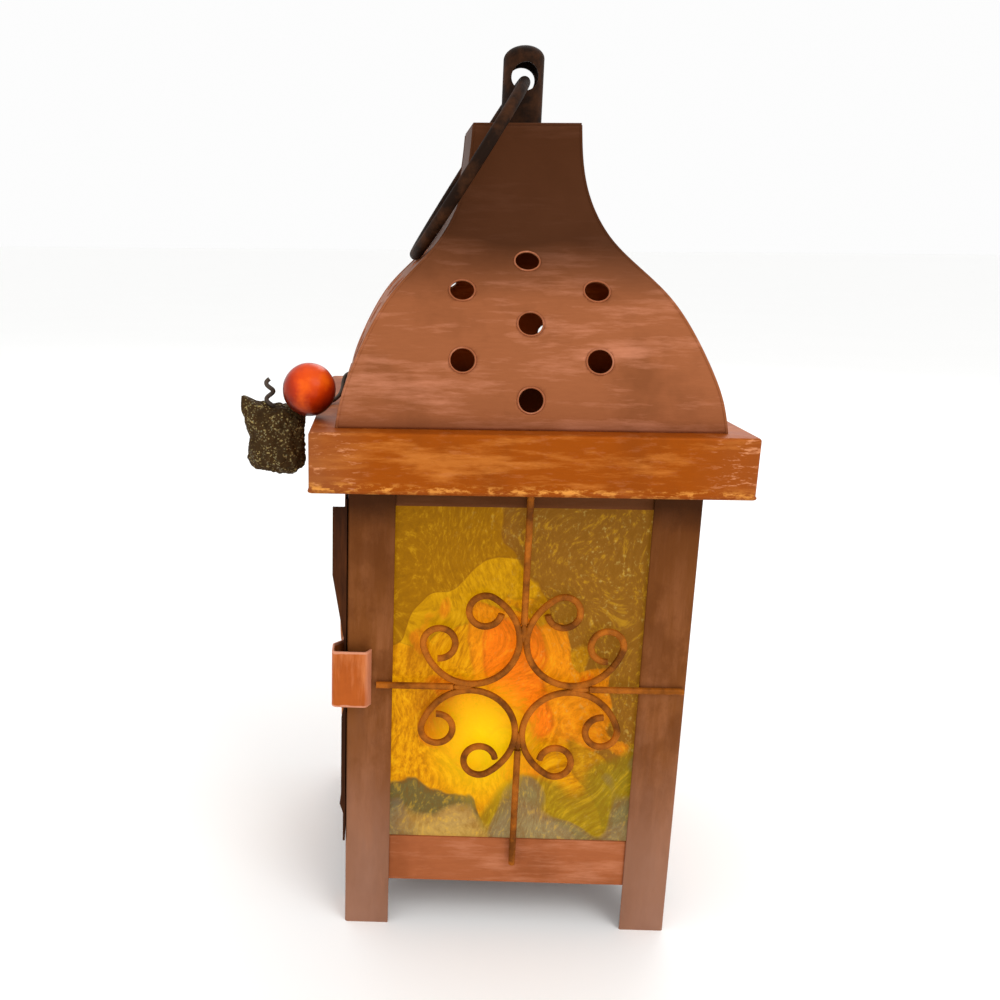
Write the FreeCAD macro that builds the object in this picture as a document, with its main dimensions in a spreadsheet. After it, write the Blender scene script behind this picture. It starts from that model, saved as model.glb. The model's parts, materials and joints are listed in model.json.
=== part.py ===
# Punched tin lantern: a square glazed body with a side door, an ogee roof of
# punched tin, a carry ring, wire scrollwork, a candle and a tied-on sprig.
# Millimetres. The floor is z = 0, the front looks along -Y, the door is at -X.
import FreeCAD, Part
import math
import os
import re

from FreeCAD import Placement, Rotation, Vector
import Sketcher

doc = FreeCAD.newDocument("punched_tin_lantern")

# Driving dimensions
SIZES = {
    # body
    "bodyWidth": 125, "legWidth": 17, "legSheet": 0.9, "tin": 0.8,
    "railBottom": 19.3, "railHeight": 19, "topRailDrop": 7.4,
    "panFloor": 21, "panRim": 8, "glass": 2, "glassEdge": 0.2, "glassCover": 11.4,
    "stripLeg": 6, "stripSheet": 0.5, "overrun": 3,
    # eave band and roof
    "eaveOverhang": 13.5, "eaveHeight": 21.3, "eaveBottom": 178, "ledgeCover": 4.5,
    "roofSetback": 9.1, "roofRise": 103.9, "neckWidth": 39.2, "roofSheet": 1,
    "punchDiameter": 9, "punchColumn": 23.5, "capSheet": 0.8,
    # hanger tube and carry ring
    "tubeRadius": 7.6, "tubeWall": 1, "tubeStraight": 24.3, "tubeDome": 5,
    "crossHole": 10, "crossHoleRise": 17.6, "ringDrop": 1.6, "ringMean": 37, "ringWire": 4.5,
    "ringRestGap": 0.12,
    # wire scrollwork
    "wire": 2.5, "scrollInset": 7.8, "wireGap": 0.03,
    "scrollHeight": 102.4, "scrollShift": 1.9, "stayClear": 7.4, "stayLap": 6,
    # door
    "doorGap": 0.3, "doorBottom": 36, "doorTopDrop": 5, "doorSetback": 10.5, "windowCover": 3.5,
    "windowBottom": 44, "windowTopDrop": 13, "doorGlassGap": 0.9, "stayGap": 0.6,
    "flangeTopDrop": 8, "flangeDeep": 4.4, "flangeWaist": 118.9, "flangeRelief": 92.3,
    "flangeFoot": 48, "flangeFlare": 1.3, "flangeSweep": 8, "flangeTaper": 4,
    # hinges
    "hingeInset": 6.5, "hingeStand": 1.9, "knuckleRadius": 1.7, "pinRadius": 0.8,
    "pinFit": 0.05, "leafSheet": 0.6, "leafReach": 16, "hingeLength": 20, "knuckleGap": 0.3,
    "hingeLow": 50, "hingeHigh": 140, "pinHead": 1, "pinHeadRadius": 1.6,
    # latch strap
    "strapBottom": 94.6, "strapHeight": 22, "strapSheet": 0.8, "strapSetback": 17.8,
    "strapLap": 9, "strapBulge": 4.2, "rivetShank": 1.1, "rivetHead": 2, "rivetRise": 0.9,
    "rivetInset": 6,
    # candle
    "cupRadius": 27, "cupHeight": 10, "cupSheet": 0.6, "waxRadius": 24.5, "waxHeight": 52,
    "candleSeat": 0.3, "wickRadius": 0.9, "wickRise": 8, "wickDepth": 12,
    # sprig
    "berryRadius": 9.8, "berryInset": 31, "berryOut": 1.6, "berrySeat": 0.3,
    "podLength": 13.5, "podWidth": 11.5, "podDepth": 9.5, "podInset": 40, "podDrop": 9.5,
    "podOut": 14.5, "stemRadius": 0.8, "stemLift": 0.35,
}

sheet = doc.addObject("Spreadsheet::Sheet", "sizes")
for row, (alias, value) in enumerate(SIZES.items(), start=1):
    sheet.set(f"A{row}", alias)
    sheet.set(f"B{row}", str(value))
    sheet.setAlias(f"B{row}", alias)
doc.recompute()

# Places that many pieces share, worked out from the sizes
HALF = "(bodyWidth / 2)"
EAVE_HALF = "(bodyWidth / 2 + eaveOverhang)"
ROOF_HALF = "(bodyWidth / 2 + eaveOverhang - roofSetback)"
WINDOW_HALF = "(bodyWidth / 2 - legWidth - windowCover)"
STRAP_ROOT = "(bodyWidth / 2 - strapSetback)"
INSIDE = "(bodyWidth / 2 - legSheet)"
RAIL_BACK = "(bodyWidth / 2 - legSheet - tin)"
EAVE_TOP = "(eaveBottom + eaveHeight)"
TOP_RAIL = "(eaveBottom - topRailDrop)"
DOOR_TOP = "(eaveBottom - doorTopDrop)"
WINDOW_TOP = "(eaveBottom - windowTopDrop)"
FLANGE_TOP = "(eaveBottom - flangeTopDrop)"
NECK_TOP = "(eaveBottom + eaveHeight + roofRise)"
TUBE_FOOT = "(eaveBottom + eaveHeight + roofRise + capSheet)"
GLASS_FOOT = "(panFloor + panRim)"
GLASS_TOP = "(eaveBottom - topRailDrop + glassCover)"
DOOR_IN = "(bodyWidth / 2 + doorGap)"
DOOR_OUT = "(bodyWidth / 2 + doorGap + tin)"
HINGE_X = "(-bodyWidth / 2 - hingeStand)"
HINGE_Y = "(bodyWidth / 2 - hingeInset)"
SIDES = {"front": 0, "right": 90, "rear": 180, "left": 270}
nodes = []


def bound(text):
    """Write an expression on size names the way the document reads it."""
    def named(word):
        return f"sizes.{word[0]}" if word[0] in SIZES else word[0]
    return re.sub(r"[A-Za-z]\w*", named, str(text))


def number(text):
    """Work out an expression on size names in a spare cell of the sheet."""
    sheet.set("D1", "=" + bound(text).replace("sizes.", ""))
    sheet.recompute()
    return float(sheet.get("D1"))


def node(obj):
    nodes.append(obj)
    return obj


def move_to(obj, x, y, z):
    for axis, text in zip("xyz", (x, y, z)):
        obj.setExpression(f"Placement.Base.{axis}", bound(text))
    return obj


def box(label, x, y, z):
    """A block between two places on each axis, given as pairs of expressions."""
    block = doc.addObject("Part::Box", label)
    for side, (low, high) in zip(("Length", "Width", "Height"), (x, y, z)):
        block.setExpression(side, bound(f"({high}) - ({low})"))
    return move_to(block, x[0], y[0], z[0])


def cylinder(label, radius, height, x, y, z, direction=Vector(0, 0, 1)):
    rod = doc.addObject("Part::Cylinder", label)
    rod.setExpression("Radius", bound(radius))
    rod.setExpression("Height", bound(height))
    rod.Placement = Placement(Vector(), Rotation(Vector(0, 0, 1), direction))
    return move_to(rod, x, y, z)


def cut(label, base, tool):
    result = doc.addObject("Part::Cut", label)
    result.Base = base
    result.Tool = tool
    return result


def fuse(label, *pieces):
    result = doc.addObject("Part::MultiFuse", label)
    result.Shapes = list(pieces)
    return result


def group(label, *pieces):
    """Separate solids of one kind that share a node."""
    result = doc.addObject("Part::Compound", label)
    result.Links = list(pieces)
    return result


def feature(label, shape):
    result = doc.addObject("Part::Feature", label)
    result.Shape = shape
    result.Placement = Placement()
    return result


def turned(obj, angle):
    obj.Placement = Placement(Vector(), Rotation(Vector(0, 0, 1), angle))
    return obj


def outline_sketch(body, name, role, offset, points):
    """A closed outline of straight lines, each corner held by two bound sizes."""
    sketch = body.newObject("Sketcher::SketchObject", name)
    plane = [item for item in body.Origin.OriginFeatures if item.Role == role][0]
    sketch.AttachmentSupport = [(plane, "")]
    sketch.MapMode = "FlatFace"
    sketch.setExpression(".AttachmentOffset.Base.z", bound(offset))
    corners = [Vector(number(u), number(v), 0) for u, v in points]
    for index, corner in enumerate(corners):
        following = corners[(index + 1) % len(corners)]
        sketch.addGeometry(Part.LineSegment(corner, following))
    for index in range(len(corners)):
        following = (index + 1) % len(corners)
        sketch.addConstraint(Sketcher.Constraint("Coincident", index, 2, following, 1))
    for index, (corner, texts) in enumerate(zip(corners, points)):
        for kind, place, text in zip(("DistanceX", "DistanceY"), corner, texts):
            held = sketch.addConstraint(Sketcher.Constraint(kind, -1, 1, index, 1, place))
            sketch.setExpression(f"Constraints[{held}]", bound(text))
    return sketch


def padded(body, name, sketch, length, backwards=False):
    pad = body.newObject("PartDesign::Pad", name)
    pad.Profile = sketch
    pad.setExpression("Length", bound(length))
    pad.Reversed = backwards
    body.Tip = pad
    return pad


# Corner posts: bent tin angles from the floor to the underside of the eave
def corner_post(label, angle):
    body = doc.addObject("PartDesign::Body", label)
    outer = f"-{HALF}"
    leg_end = f"-{HALF} + legWidth"
    back = f"-{HALF} + legSheet"
    corners = [(outer, outer), (leg_end, outer), (leg_end, back),
               (back, back), (back, leg_end), (outer, leg_end)]
    sketch = outline_sketch(body, label + "Section", "XY_Plane", "0", corners)
    padded(body, label + "Pad", sketch, f"{EAVE_TOP} - tin")
    return turned(body, angle)


for name, angle in {"front_left": 0, "front_right": 90, "rear_right": 180, "rear_left": 270}.items():
    node(corner_post(name + "_post", angle))


# Rails: strips soldered behind the posts, one on each side at foot and head
def side_box(label, side, reach, outer, inner, low, high):
    """A flat strip on one side of the body, between two distances from the middle."""
    along = (f"-({reach})", reach)
    across = (f"-({outer})", f"-({inner})") if side in ("front", "left") else (inner, outer)
    if side in ("front", "rear"):
        return box(label, along, across, (low, high))
    return box(label, across, along, (low, high))


for side in SIDES:
    reach = INSIDE if side in ("front", "rear") else RAIL_BACK
    node(side_box(f"{side}_bottom_rail", side, reach, INSIDE, RAIL_BACK,
                  "railBottom", "railBottom + railHeight"))
    node(side_box(f"{side}_top_rail", side, reach, INSIDE, RAIL_BACK,
                  TOP_RAIL, f"{EAVE_TOP} - tin"))


# Floor pan: a shallow tray soldered inside the bottom rails
def tray(label, reach, wall, low, rim):
    outer = box(label + "Outer", (f"-{reach}", reach), (f"-{reach}", reach), (low, f"{low} + {rim}"))
    inner_reach = f"({reach} - {wall})"
    inner = box(label + "Inner", (f"-{inner_reach}", inner_reach), (f"-{inner_reach}", inner_reach),
                (f"{low} + {wall}", f"{low} + {rim} + overrun"))
    return cut(label, outer, inner)


node(tray("floor_pan", RAIL_BACK, "tin", "panFloor", "panRim"))

# Glass: three fixed panes that stand on the rim of the pan, behind the rails
for side in ("front", "right", "rear"):
    ends = f"{RAIL_BACK} - glassEdge" if side != "right" else f"{RAIL_BACK} - glass - glassEdge"
    node(side_box(f"{side}_glass", side, ends, RAIL_BACK, f"{RAIL_BACK} - glass",
                  GLASS_FOOT, GLASS_TOP))


# Corner strips: small angles that hold the panes from behind
def corner_strip(angle, index):
    outer = f"-({RAIL_BACK} - glass)"
    along = box(f"stripAlong{index}", (outer, f"{outer} + stripLeg"),
                (outer, f"{outer} + stripSheet"), ("panFloor + tin", GLASS_TOP))
    across = box(f"stripAcross{index}", (outer, f"{outer} + stripSheet"),
                 (outer, f"{outer} + stripLeg"), ("panFloor + tin", GLASS_TOP))
    return turned(fuse(f"strip{index}", along, across), angle)


node(group("glass_corner_strips", *[corner_strip(angle, index)
                                    for index, angle in enumerate(SIDES.values())]))


# Eave band: a flat ledge with its edge turned down all round
def eave():
    inner = f"({EAVE_HALF} - tin)"
    opening = f"({HALF} - ledgeCover)"
    block = box("eaveBlock", (f"-{EAVE_HALF}", EAVE_HALF), (f"-{EAVE_HALF}", EAVE_HALF),
                ("eaveBottom", EAVE_TOP))
    hollow = box("eaveHollow", (f"-{inner}", inner), (f"-{inner}", inner),
                 ("eaveBottom - overrun", f"{EAVE_TOP} - tin"))
    way = box("eaveWay", (f"-{opening}", opening), (f"-{opening}", opening),
              ("eaveBottom", f"{EAVE_TOP} + overrun"))
    return cut("eave_band", block, fuse("eaveSpace", hollow, way))


node(eave())

# Roof: four panels bent to one ogee, as shares of the rise and of the run
PROFILE_SHARES = [(0, 1), (0.098, 0.96), (0.209, 0.873), (0.321, 0.757), (0.425, 0.613),
                  (0.531, 0.395), (0.608, 0.245), (0.683, 0.146), (0.772, 0.07), (0.883, 0.021), (1, 0)]
# Punched holes, as the column they stand in and a share of the rise
PUNCH_SHARES = [(0, 0.54), (-1, 0.445), (1, 0.445), (0, 0.34), (-1, 0.223), (1, 0.223), (0, 0.098)]


def profile_points(inset=0):
    """The ogee of one panel, as distances from the middle and heights."""
    neck = number("neckWidth / 2")
    run = number(ROOF_HALF) - neck
    low, rise = number(EAVE_TOP), number("roofRise")
    return [(neck + run * out - inset, low + rise * up) for up, out in PROFILE_SHARES]


def profile_curve(inset=0):
    curve = Part.BSplineCurve()
    curve.interpolate([Vector(0, -out, up) for out, up in profile_points(inset)])
    return curve


def profile_at(height):
    """The point of the outer ogee at a height, and its slope there."""
    curve = profile_curve()
    low, high = curve.FirstParameter, curve.LastParameter
    for step in range(40):
        middle = (low + high) / 2
        if curve.value(middle).z < height:
            low = middle
        else:
            high = middle
    return curve.value(low), curve.tangent(low)[0]


def roof_blank():
    outer, inner = profile_curve(), profile_curve(number("roofSheet"))
    ends = [Part.makeLine(outer.value(place(outer)), inner.value(place(inner)))
            for place in (lambda curve: curve.FirstParameter, lambda curve: curve.LastParameter)]
    edges = Part.sortEdges([outer.toShape(), inner.toShape(), *ends])[0]
    reach = number(ROOF_HALF)
    section = Part.Face(Part.Wire(edges)).translated(Vector(-reach, 0, 0))
    sheet_solid = section.extrude(Vector(2 * reach, 0, 0))
    corners = [Vector(0, 0, 0), Vector(-2 * reach, -2 * reach, 0), Vector(2 * reach, -2 * reach, 0)]
    tall = Vector(0, 0, number(f"{NECK_TOP} + overrun"))
    wedge = Part.Face(Part.makePolygon(corners + corners[:1])).extrude(tall)
    return sheet_solid.common(wedge)


def punch_tools():
    tools = []
    for column, share in PUNCH_SHARES:
        height = number(f"{EAVE_TOP} + roofRise * {share}")
        point, along = profile_at(height)
        inward = Vector(0, along.z, -along.y).normalize()
        depth = number("roofSheet + overrun")
        start = Vector(column * number("punchColumn"), point.y, point.z) - inward * depth
        tools.append(Part.makeCylinder(number("punchDiameter / 2"), depth * 2, start, inward))
    return tools


panel_shape = roof_blank().cut(punch_tools())
for side, angle in SIDES.items():
    node(turned(feature(f"{side}_roof_panel", panel_shape), angle))

# Neck cap: a flat plate that closes the neck and carries the hanger tube
node(box("neck_cap", ("-neckWidth / 2", "neckWidth / 2"), ("-neckWidth / 2", "neckWidth / 2"),
         (NECK_TOP, TUBE_FOOT)))


# Hanger tube: an upright tube with a domed end and a hole across it
def domed(label, radius, straight, dome):
    side = cylinder(label + "Side", radius, straight, "0", "0", TUBE_FOOT)
    top = doc.addObject("Part::Ellipsoid", label + "Dome")
    for size, text in (("Radius1", dome), ("Radius2", radius), ("Radius3", radius)):
        top.setExpression(size, bound(text))
    move_to(top, "0", "0", f"{TUBE_FOOT} + {straight}")
    return fuse(label, side, top)


tube_walls = cut("tubeWalls", domed("tubeOuter", "tubeRadius", "tubeStraight", "tubeDome"),
                 domed("tubeInner", "(tubeRadius - tubeWall)", "tubeStraight", "(tubeDome - tubeWall)"))
tube_cross = cylinder("tubeCross", "crossHole / 2", "(tubeRadius + overrun) * 2",
                      "0", "-tubeRadius - overrun", f"{TUBE_FOOT} + crossHoleRise", Vector(0, 1, 0))
node(cut("hanger_tube", tube_walls, tube_cross))

# Carry ring: hangs in the cross hole and leans on the left shoulder of the roof
PIVOT_HEIGHT = f"({TUBE_FOOT} + crossHoleRise - ringDrop)"


def ring_lean():
    """The least angle from hanging at which the ring clears the roof."""
    pivot, mean = number(PIVOT_HEIGHT), number("ringMean")
    clear = number("ringWire / 2 + ringRestGap")
    curve = profile_curve()
    lean = 0
    for step in range(400):
        share = step / 399
        point = curve.value(curve.FirstParameter + share * (curve.LastParameter - curve.FirstParameter))
        away = math.hypot(point.y, pivot - point.z)
        past = max(away - 2 * mean, 0)
        beside = math.sqrt(max(mean ** 2 - (mean - away) ** 2, 0)) - clear
        if past >= clear or beside > -point.y:
            continue
        side = math.asin(clear / away) if past == 0 else math.acos(
            min(1, (away ** 2 + (2 * mean) ** 2 - clear ** 2) / (4 * mean * away)))
        lean = max(lean, math.atan2(-point.y, pivot - point.z) + side)
    return math.degrees(lean)


LEAN = ring_lean()
print(f"ring leans {LEAN:.2f} degrees from hanging")
ring = doc.addObject("Part::Torus", "carry_ring")
ring.setExpression("Radius1", bound("ringMean"))
ring.setExpression("Radius2", bound("ringWire / 2"))
ring.Placement = Placement(Vector(), Rotation(Vector(0, 1, 0), 90 + LEAN))
node(move_to(ring, f"-ringMean * {math.sin(math.radians(LEAN))}", "0",
             f"{PIVOT_HEIGHT} - ringMean * {math.cos(math.radians(LEAN))}"))

# Scrollwork: four C-scrolls back to back, with straight stays in the clefts. The
# radii of a scroll's back, sides and curls are shares of the whole pattern's reach.
OPENING_ANGLE = 51.9
BACK_TURN = 80
SIDE_TURN = 30
CURL_TURN = 292
RADIUS_SHARES = {"back": 0.4562, "side": 0.5836, "curl": 0.1565}
PATTERN_REACH = "(bodyWidth / 2 - legWidth - scrollInset)"
SCROLL_BACK = f"({PATTERN_REACH} * {RADIUS_SHARES['back']})"
SCROLL_MIDDLE = f"({SCROLL_BACK} + wire / 2 + wireGap)"


def half_scroll():
    """One half of a C-scroll as runs of three points, from the back to the curl."""
    at, heading = (0, -number(SCROLL_BACK)), 0
    runs = []
    for stretch, turn in (("back", BACK_TURN), ("side", SIDE_TURN), ("curl", CURL_TURN)):
        radius = number(PATTERN_REACH) * RADIUS_SHARES[stretch]
        middle = (at[0] - radius * math.sin(heading), at[1] + radius * math.cos(heading))
        run = []
        for share in (0, 0.5, 1):
            angle = heading + math.radians(turn) * share
            run.append((middle[0] + radius * math.sin(angle), middle[1] - radius * math.cos(angle)))
        runs.append(run)
        at, heading = run[2], heading + math.radians(turn)
    return runs


def scroll(right, up):
    """A C-scroll in one quarter of the pattern, swept as a round wire."""
    spin = math.radians(OPENING_ANGLE - 90)
    middle = number(SCROLL_MIDDLE)

    def placed(point):
        across = point[0] * math.cos(spin) - point[1] * math.sin(spin) + middle
        rise = point[0] * math.sin(spin) + point[1] * math.cos(spin) + middle
        return Vector(number("scrollShift") + right * across, 0, number("scrollHeight") + up * rise)

    runs = half_scroll()
    mirrored = [[(-u, v) for u, v in run] for run in runs]
    edges = [Part.Arc(*[placed(point) for point in run]).toShape() for run in runs + mirrored]
    path = Part.Wire(Part.sortEdges(edges)[0])
    first = path.OrderedEdges[0]
    start = first.valueAt(first.FirstParameter)
    heading = first.tangentAt(first.FirstParameter)
    if path.OrderedVertexes[0].Point.distanceToPoint(start) > number("wire / 2"):
        start = first.valueAt(first.LastParameter)
        heading = first.tangentAt(first.LastParameter)
    ring_section = Part.Wire(Part.makeCircle(number("wire / 2"), start, heading))
    return path.makePipeShell([ring_section], True, False)


scroll_shapes = [scroll(right, up) for right in (-1, 1) for up in (-1, 1)]


def scrolls(label, angle, distance):
    lifted = [shape.translated(Vector(0, -number(distance), 0)) for shape in scroll_shapes]
    return turned(feature(label, Part.makeCompound(lifted)), angle)


def stays(label, angle, distance, left, right, low, high):
    """Four straight wires from the scrolls to the frame round them."""
    end = f"({SCROLL_MIDDLE} + stayClear)"
    back = f"-({distance})"
    across, upward = Vector(1, 0, 0), Vector(0, 0, 1)
    rods = [
        cylinder(label + "Top", "wire / 2", f"({high}) - scrollHeight - {end}",
                 "scrollShift", back, f"scrollHeight + {end}", upward),
        cylinder(label + "Foot", "wire / 2", f"scrollHeight - {end} - ({low})",
                 "scrollShift", back, low, upward),
        cylinder(label + "Left", "wire / 2", f"({left}) + scrollShift - {end}",
                 f"-({left})", back, "scrollHeight", across),
        cylinder(label + "Right", "wire / 2", f"({right}) - scrollShift - {end}",
                 f"scrollShift + {end}", back, "scrollHeight", across)]
    return turned(group(label, *rods), angle)


ON_POSTS = f"{HALF} + wire / 2"
POST_EDGE = f"{HALF} - legWidth"
for side in ("front", "right", "rear"):
    node(scrolls(f"{side}_scrolls", SIDES[side], ON_POSTS))
    node(stays(f"{side}_stays", SIDES[side], ON_POSTS, f"{POST_EDGE} + stayLap",
               f"{HALF} - wire / 2", "railBottom + railHeight / 2", f"{TOP_RAIL} + stayLap"))


# Door: a flat frame with a standing lip, its pane and its own scrollwork
def door_frame():
    plate = box("doorPlate", (f"-{DOOR_OUT}", f"-{DOOR_IN}"), (f"-{HALF}", f"{HALF} - doorSetback"),
                ("doorBottom", DOOR_TOP))
    window = box("doorWindow", (f"-{DOOR_OUT} - overrun", f"-{DOOR_IN} + overrun"),
                 (f"-{WINDOW_HALF}", WINDOW_HALF), ("windowBottom", WINDOW_TOP))
    body = doc.addObject("PartDesign::Body", "doorLip")
    skin, edge = f"-{DOOR_IN}", f"-{DOOR_OUT}"
    points = [(skin, FLANGE_TOP), (f"{edge} - flangeDeep", FLANGE_TOP),
              (f"{edge} - flangeDeep", f"({FLANGE_TOP} + flangeWaist) / 2"), (edge, "flangeWaist"),
              (edge, "flangeRelief"), (f"{edge} - tin", "flangeRelief - flangeTaper"),
              (f"{edge} - tin", "flangeFoot + flangeSweep"),
              (f"{edge} - flangeFlare", "flangeFoot + flangeTaper"),
              (edge, "flangeFoot"), (skin, "flangeFoot")]
    sketch = outline_sketch(body, "doorLipOutline", "XZ_Plane", HALF, points)
    padded(body, "doorLipPad", sketch, "tin", backwards=True)
    return cut("doorSheet", fuse("doorBlank", plate, body), window)


def rivet_places():
    return [("low", "strapBottom + rivetInset"), ("high", "strapBottom + strapHeight - rivetInset")]


def rivet_rod(label, radius, start, length, height):
    return cylinder(label, radius, length, f"-({start})", f"-({STRAP_ROOT} + rivetInset)", height,
                    Vector(-1, 0, 0))


def rivet_holes(label):
    return fuse(label, *[rivet_rod(f"{label}{name}", "rivetShank", f"{DOOR_IN} - overrun",
                                   "tin + strapSheet + overrun * 2", height)
                         for name, height in rivet_places()])


node(cut("door_frame", door_frame(), rivet_holes("plateHoles")))
node(box("door_glass", (f"-{DOOR_IN}", f"-{DOOR_IN} + glass"),
         (f"-({POST_EDGE} - doorGlassGap)", f"{POST_EDGE} - doorGlassGap"),
         ("railBottom + railHeight + doorGlassGap", f"{TOP_RAIL} - doorGlassGap")))
ON_DOOR = f"{DOOR_OUT} + wire / 2"
node(scrolls("door_scrolls", SIDES["left"], ON_DOOR))
node(stays("door_stays", SIDES["left"], ON_DOOR, f"{WINDOW_HALF} + stayLap",
           f"{STRAP_ROOT} - stayGap", "windowBottom - stayLap", f"{WINDOW_TOP} + stayLap"))


# Hinges: a knuckle of the post below a knuckle of the door, on a headed pin
def hinge_leaf(label, moving, low):
    barrel_low = f"{low} + hingeLength / 2 + knuckleGap / 2" if moving else low
    barrel = "(hingeLength / 2 - knuckleGap / 2)"
    clear = "(knuckleRadius + knuckleGap)"
    if moving:
        depth = (f"-{DOOR_OUT} - leafSheet", f"-{DOOR_OUT}")
        plate_y = (f"{HINGE_Y} - leafReach", f"{HINGE_Y} - {clear}")
        tongue_y = (f"{HINGE_Y} - {clear}", HINGE_Y)
    else:
        depth = (f"-{HALF} - leafSheet", f"-{HALF}")
        plate_y = (f"{HINGE_Y} + {clear}", f"{HALF} - glassEdge")
        tongue_y = (HINGE_Y, f"{HINGE_Y} + {clear}")
    plate = box(label + "Plate", depth, plate_y, (low, f"{low} + hingeLength"))
    tongue = box(label + "Tongue", depth, tongue_y, (barrel_low, f"{barrel_low} + {barrel}"))
    knuckle = cylinder(label + "Knuckle", "knuckleRadius", barrel, HINGE_X, HINGE_Y, barrel_low)
    bore = cylinder(label + "Bore", "pinRadius + pinFit", "hingeLength + overrun * 2",
                    HINGE_X, HINGE_Y, f"{low} - overrun")
    return cut(label, fuse(label + "Blank", plate, tongue, knuckle), bore)


def hinge_pin(label, low):
    shank = cylinder(label + "Shank", "pinRadius", "hingeLength + knuckleGap", HINGE_X, HINGE_Y, low)
    head = cylinder(label + "Head", "pinHeadRadius", "pinHead", HINGE_X, HINGE_Y,
                    f"{low} + hingeLength + knuckleGap")
    return fuse(label, shank, head)


levels = {"Low": "hingeLow", "High": "hingeHigh"}
node(group("hinge_post_leaves", *[hinge_leaf("postLeaf" + name, False, low)
                                  for name, low in levels.items()]))
node(group("hinge_door_leaves", *[hinge_leaf("doorLeaf" + name, True, low)
                                  for name, low in levels.items()]))
node(group("hinge_pins", *[hinge_pin("pin" + name, low) for name, low in levels.items()]))


# Latch strap: riveted to the door, bowed round the front corner of the body.
# The bow's two outer points are shares of the bulge, sideways and forwards.
BOW_SHARES = [(0.86, 0), (0.2, 0.95)]
LAP_SHARE = 0.4


def strap():
    out = number(f"{DOOR_OUT} + strapSheet / 2")
    half = number(HALF)
    bulge = number("strapBulge")
    lap = number("strapLap")
    tip = number(f"{HALF} + doorGap + strapSheet / 2")
    middle = number("strapBottom + strapHeight / 2")
    straight = number(f"{STRAP_ROOT} + rivetInset * 2")
    root = Vector(-out, -number(STRAP_ROOT), middle)
    bend = Vector(-out, -straight, middle)
    route = [bend]
    for sideways, forwards in BOW_SHARES:
        route.append(Vector(-out - bulge * sideways, -half - bulge * forwards, middle))
    route.append(Vector(-half + lap * LAP_SHARE, -half - bulge, middle))
    route.append(Vector(-half + lap, -tip, middle))
    curve = Part.BSplineCurve()
    curve.interpolate(route)
    path = Part.Wire([Part.makeLine(root, bend), curve.toShape()])
    thick, tall = number("strapSheet / 2"), number("strapHeight / 2")
    corners = [root + Vector(thick * side, 0, tall * level)
               for side, level in ((-1, -1), (1, -1), (1, 1), (-1, 1))]
    section = Part.makePolygon(corners + corners[:1])
    return path.makePipeShell([section], True, True)


node(cut("latch_strap", feature("strapBlank", strap()), rivet_holes("strapHoles")))


def rivet(name, height):
    shank = rivet_rod("rivetShank" + name, "rivetShank", DOOR_IN, "tin + strapSheet", height)
    head = rivet_rod("rivetHead" + name, "rivetHead", f"{DOOR_OUT} + strapSheet", "rivetRise", height)
    return fuse("rivet" + name, shank, head)


node(group("latch_rivets", *[rivet(name, height) for name, height in rivet_places()]))

# Candle: a block of wax with its wick, standing in a shallow cup on the pan
CUP_FLOOR = "(panFloor + tin)"
cup_outer = cylinder("cupOuter", "cupRadius", "cupHeight", "0", "0", CUP_FLOOR)
cup_inner = cylinder("cupInner", "cupRadius - cupSheet", "cupHeight", "0", "0",
                     f"{CUP_FLOOR} + cupSheet")
node(cut("candle_cup", cup_outer, cup_inner))
WAX_FOOT = "(panFloor + tin + cupSheet + candleSeat)"
wax = cylinder("waxBlock", "waxRadius", "waxHeight", "0", "0", WAX_FOOT)
wick = cylinder("candle_wick", "wickRadius", "wickRise + wickDepth", "0", "0",
                f"{WAX_FOOT} + waxHeight - wickDepth")
node(cut("candle_wax", wax, wick))
node(wick)


# Sprig: a berry, a dry pod and the wire that hooks them to the roof. The wire
# leaves the pod, lies over the eave's edge and ledge and goes in at a hole. Its
# places are shares of the pod's distance forward and of the ledge's width.
STEM_SHARES = {"pod": 0.85, "edge": 0.7, "ledge": 0.4, "climb": 0.12}
LEDGE_SHARE = 0.5
POD_FORWARD = f"({EAVE_HALF} - podInset)"


def sprig_stem():
    edge, top = -number(EAVE_HALF), number(EAVE_TOP)
    lift = number("stemRadius + stemLift")
    hole, along = profile_at(number(f"{EAVE_TOP} + roofRise * {PUNCH_SHARES[-1][1]}"))
    forward = {place: -number(POD_FORWARD) * share for place, share in STEM_SHARES.items()}
    ledge = number("roofSetback") * LEDGE_SHARE
    route = [Vector(edge - number("podOut / 2"), forward["pod"], top - lift),
             Vector(edge - lift, forward["edge"], top + lift),
             Vector(edge + ledge, forward["ledge"], top + lift),
             Vector(hole.y - lift * 2, forward["climb"], (top + hole.z) / 2),
             Vector(hole.y - lift, 0, hole.z - lift / 2),
             Vector(hole.y + ledge, 0, hole.z)]
    curve = Part.BSplineCurve()
    curve.interpolate(route)
    path = Part.Wire(curve.toShape())
    heading = curve.tangent(curve.FirstParameter)[0]
    section = Part.Wire(Part.makeCircle(number("stemRadius"), route[0], heading))
    return path.makePipeShell([section], True, False)


stem = feature("sprig_stem", sprig_stem())
berry = doc.addObject("Part::Sphere", "sprig_berry")
berry.setExpression("Radius", bound("berryRadius"))
move_to(berry, f"-{EAVE_HALF} - berryOut", f"-({EAVE_HALF} - berryInset)",
        f"{EAVE_TOP} + berryRadius + berrySeat")

# Outline of the pod's dry husk, as shares of its half width and half length, and
# its layers, as shares of that outline and of its half depth
HUSK_SHARES = [(-1.12, 1.15), (-0.1, 0.85), (0.9, 0.95), (0.85, 0), (0.8, -1.1), (0, -0.85),
               (-0.95, -0.9), (-0.85, 0)]
LAYER_SHARES = [(1, 0.4), (0.88, 0.7), (0.65, 1)]


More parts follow.
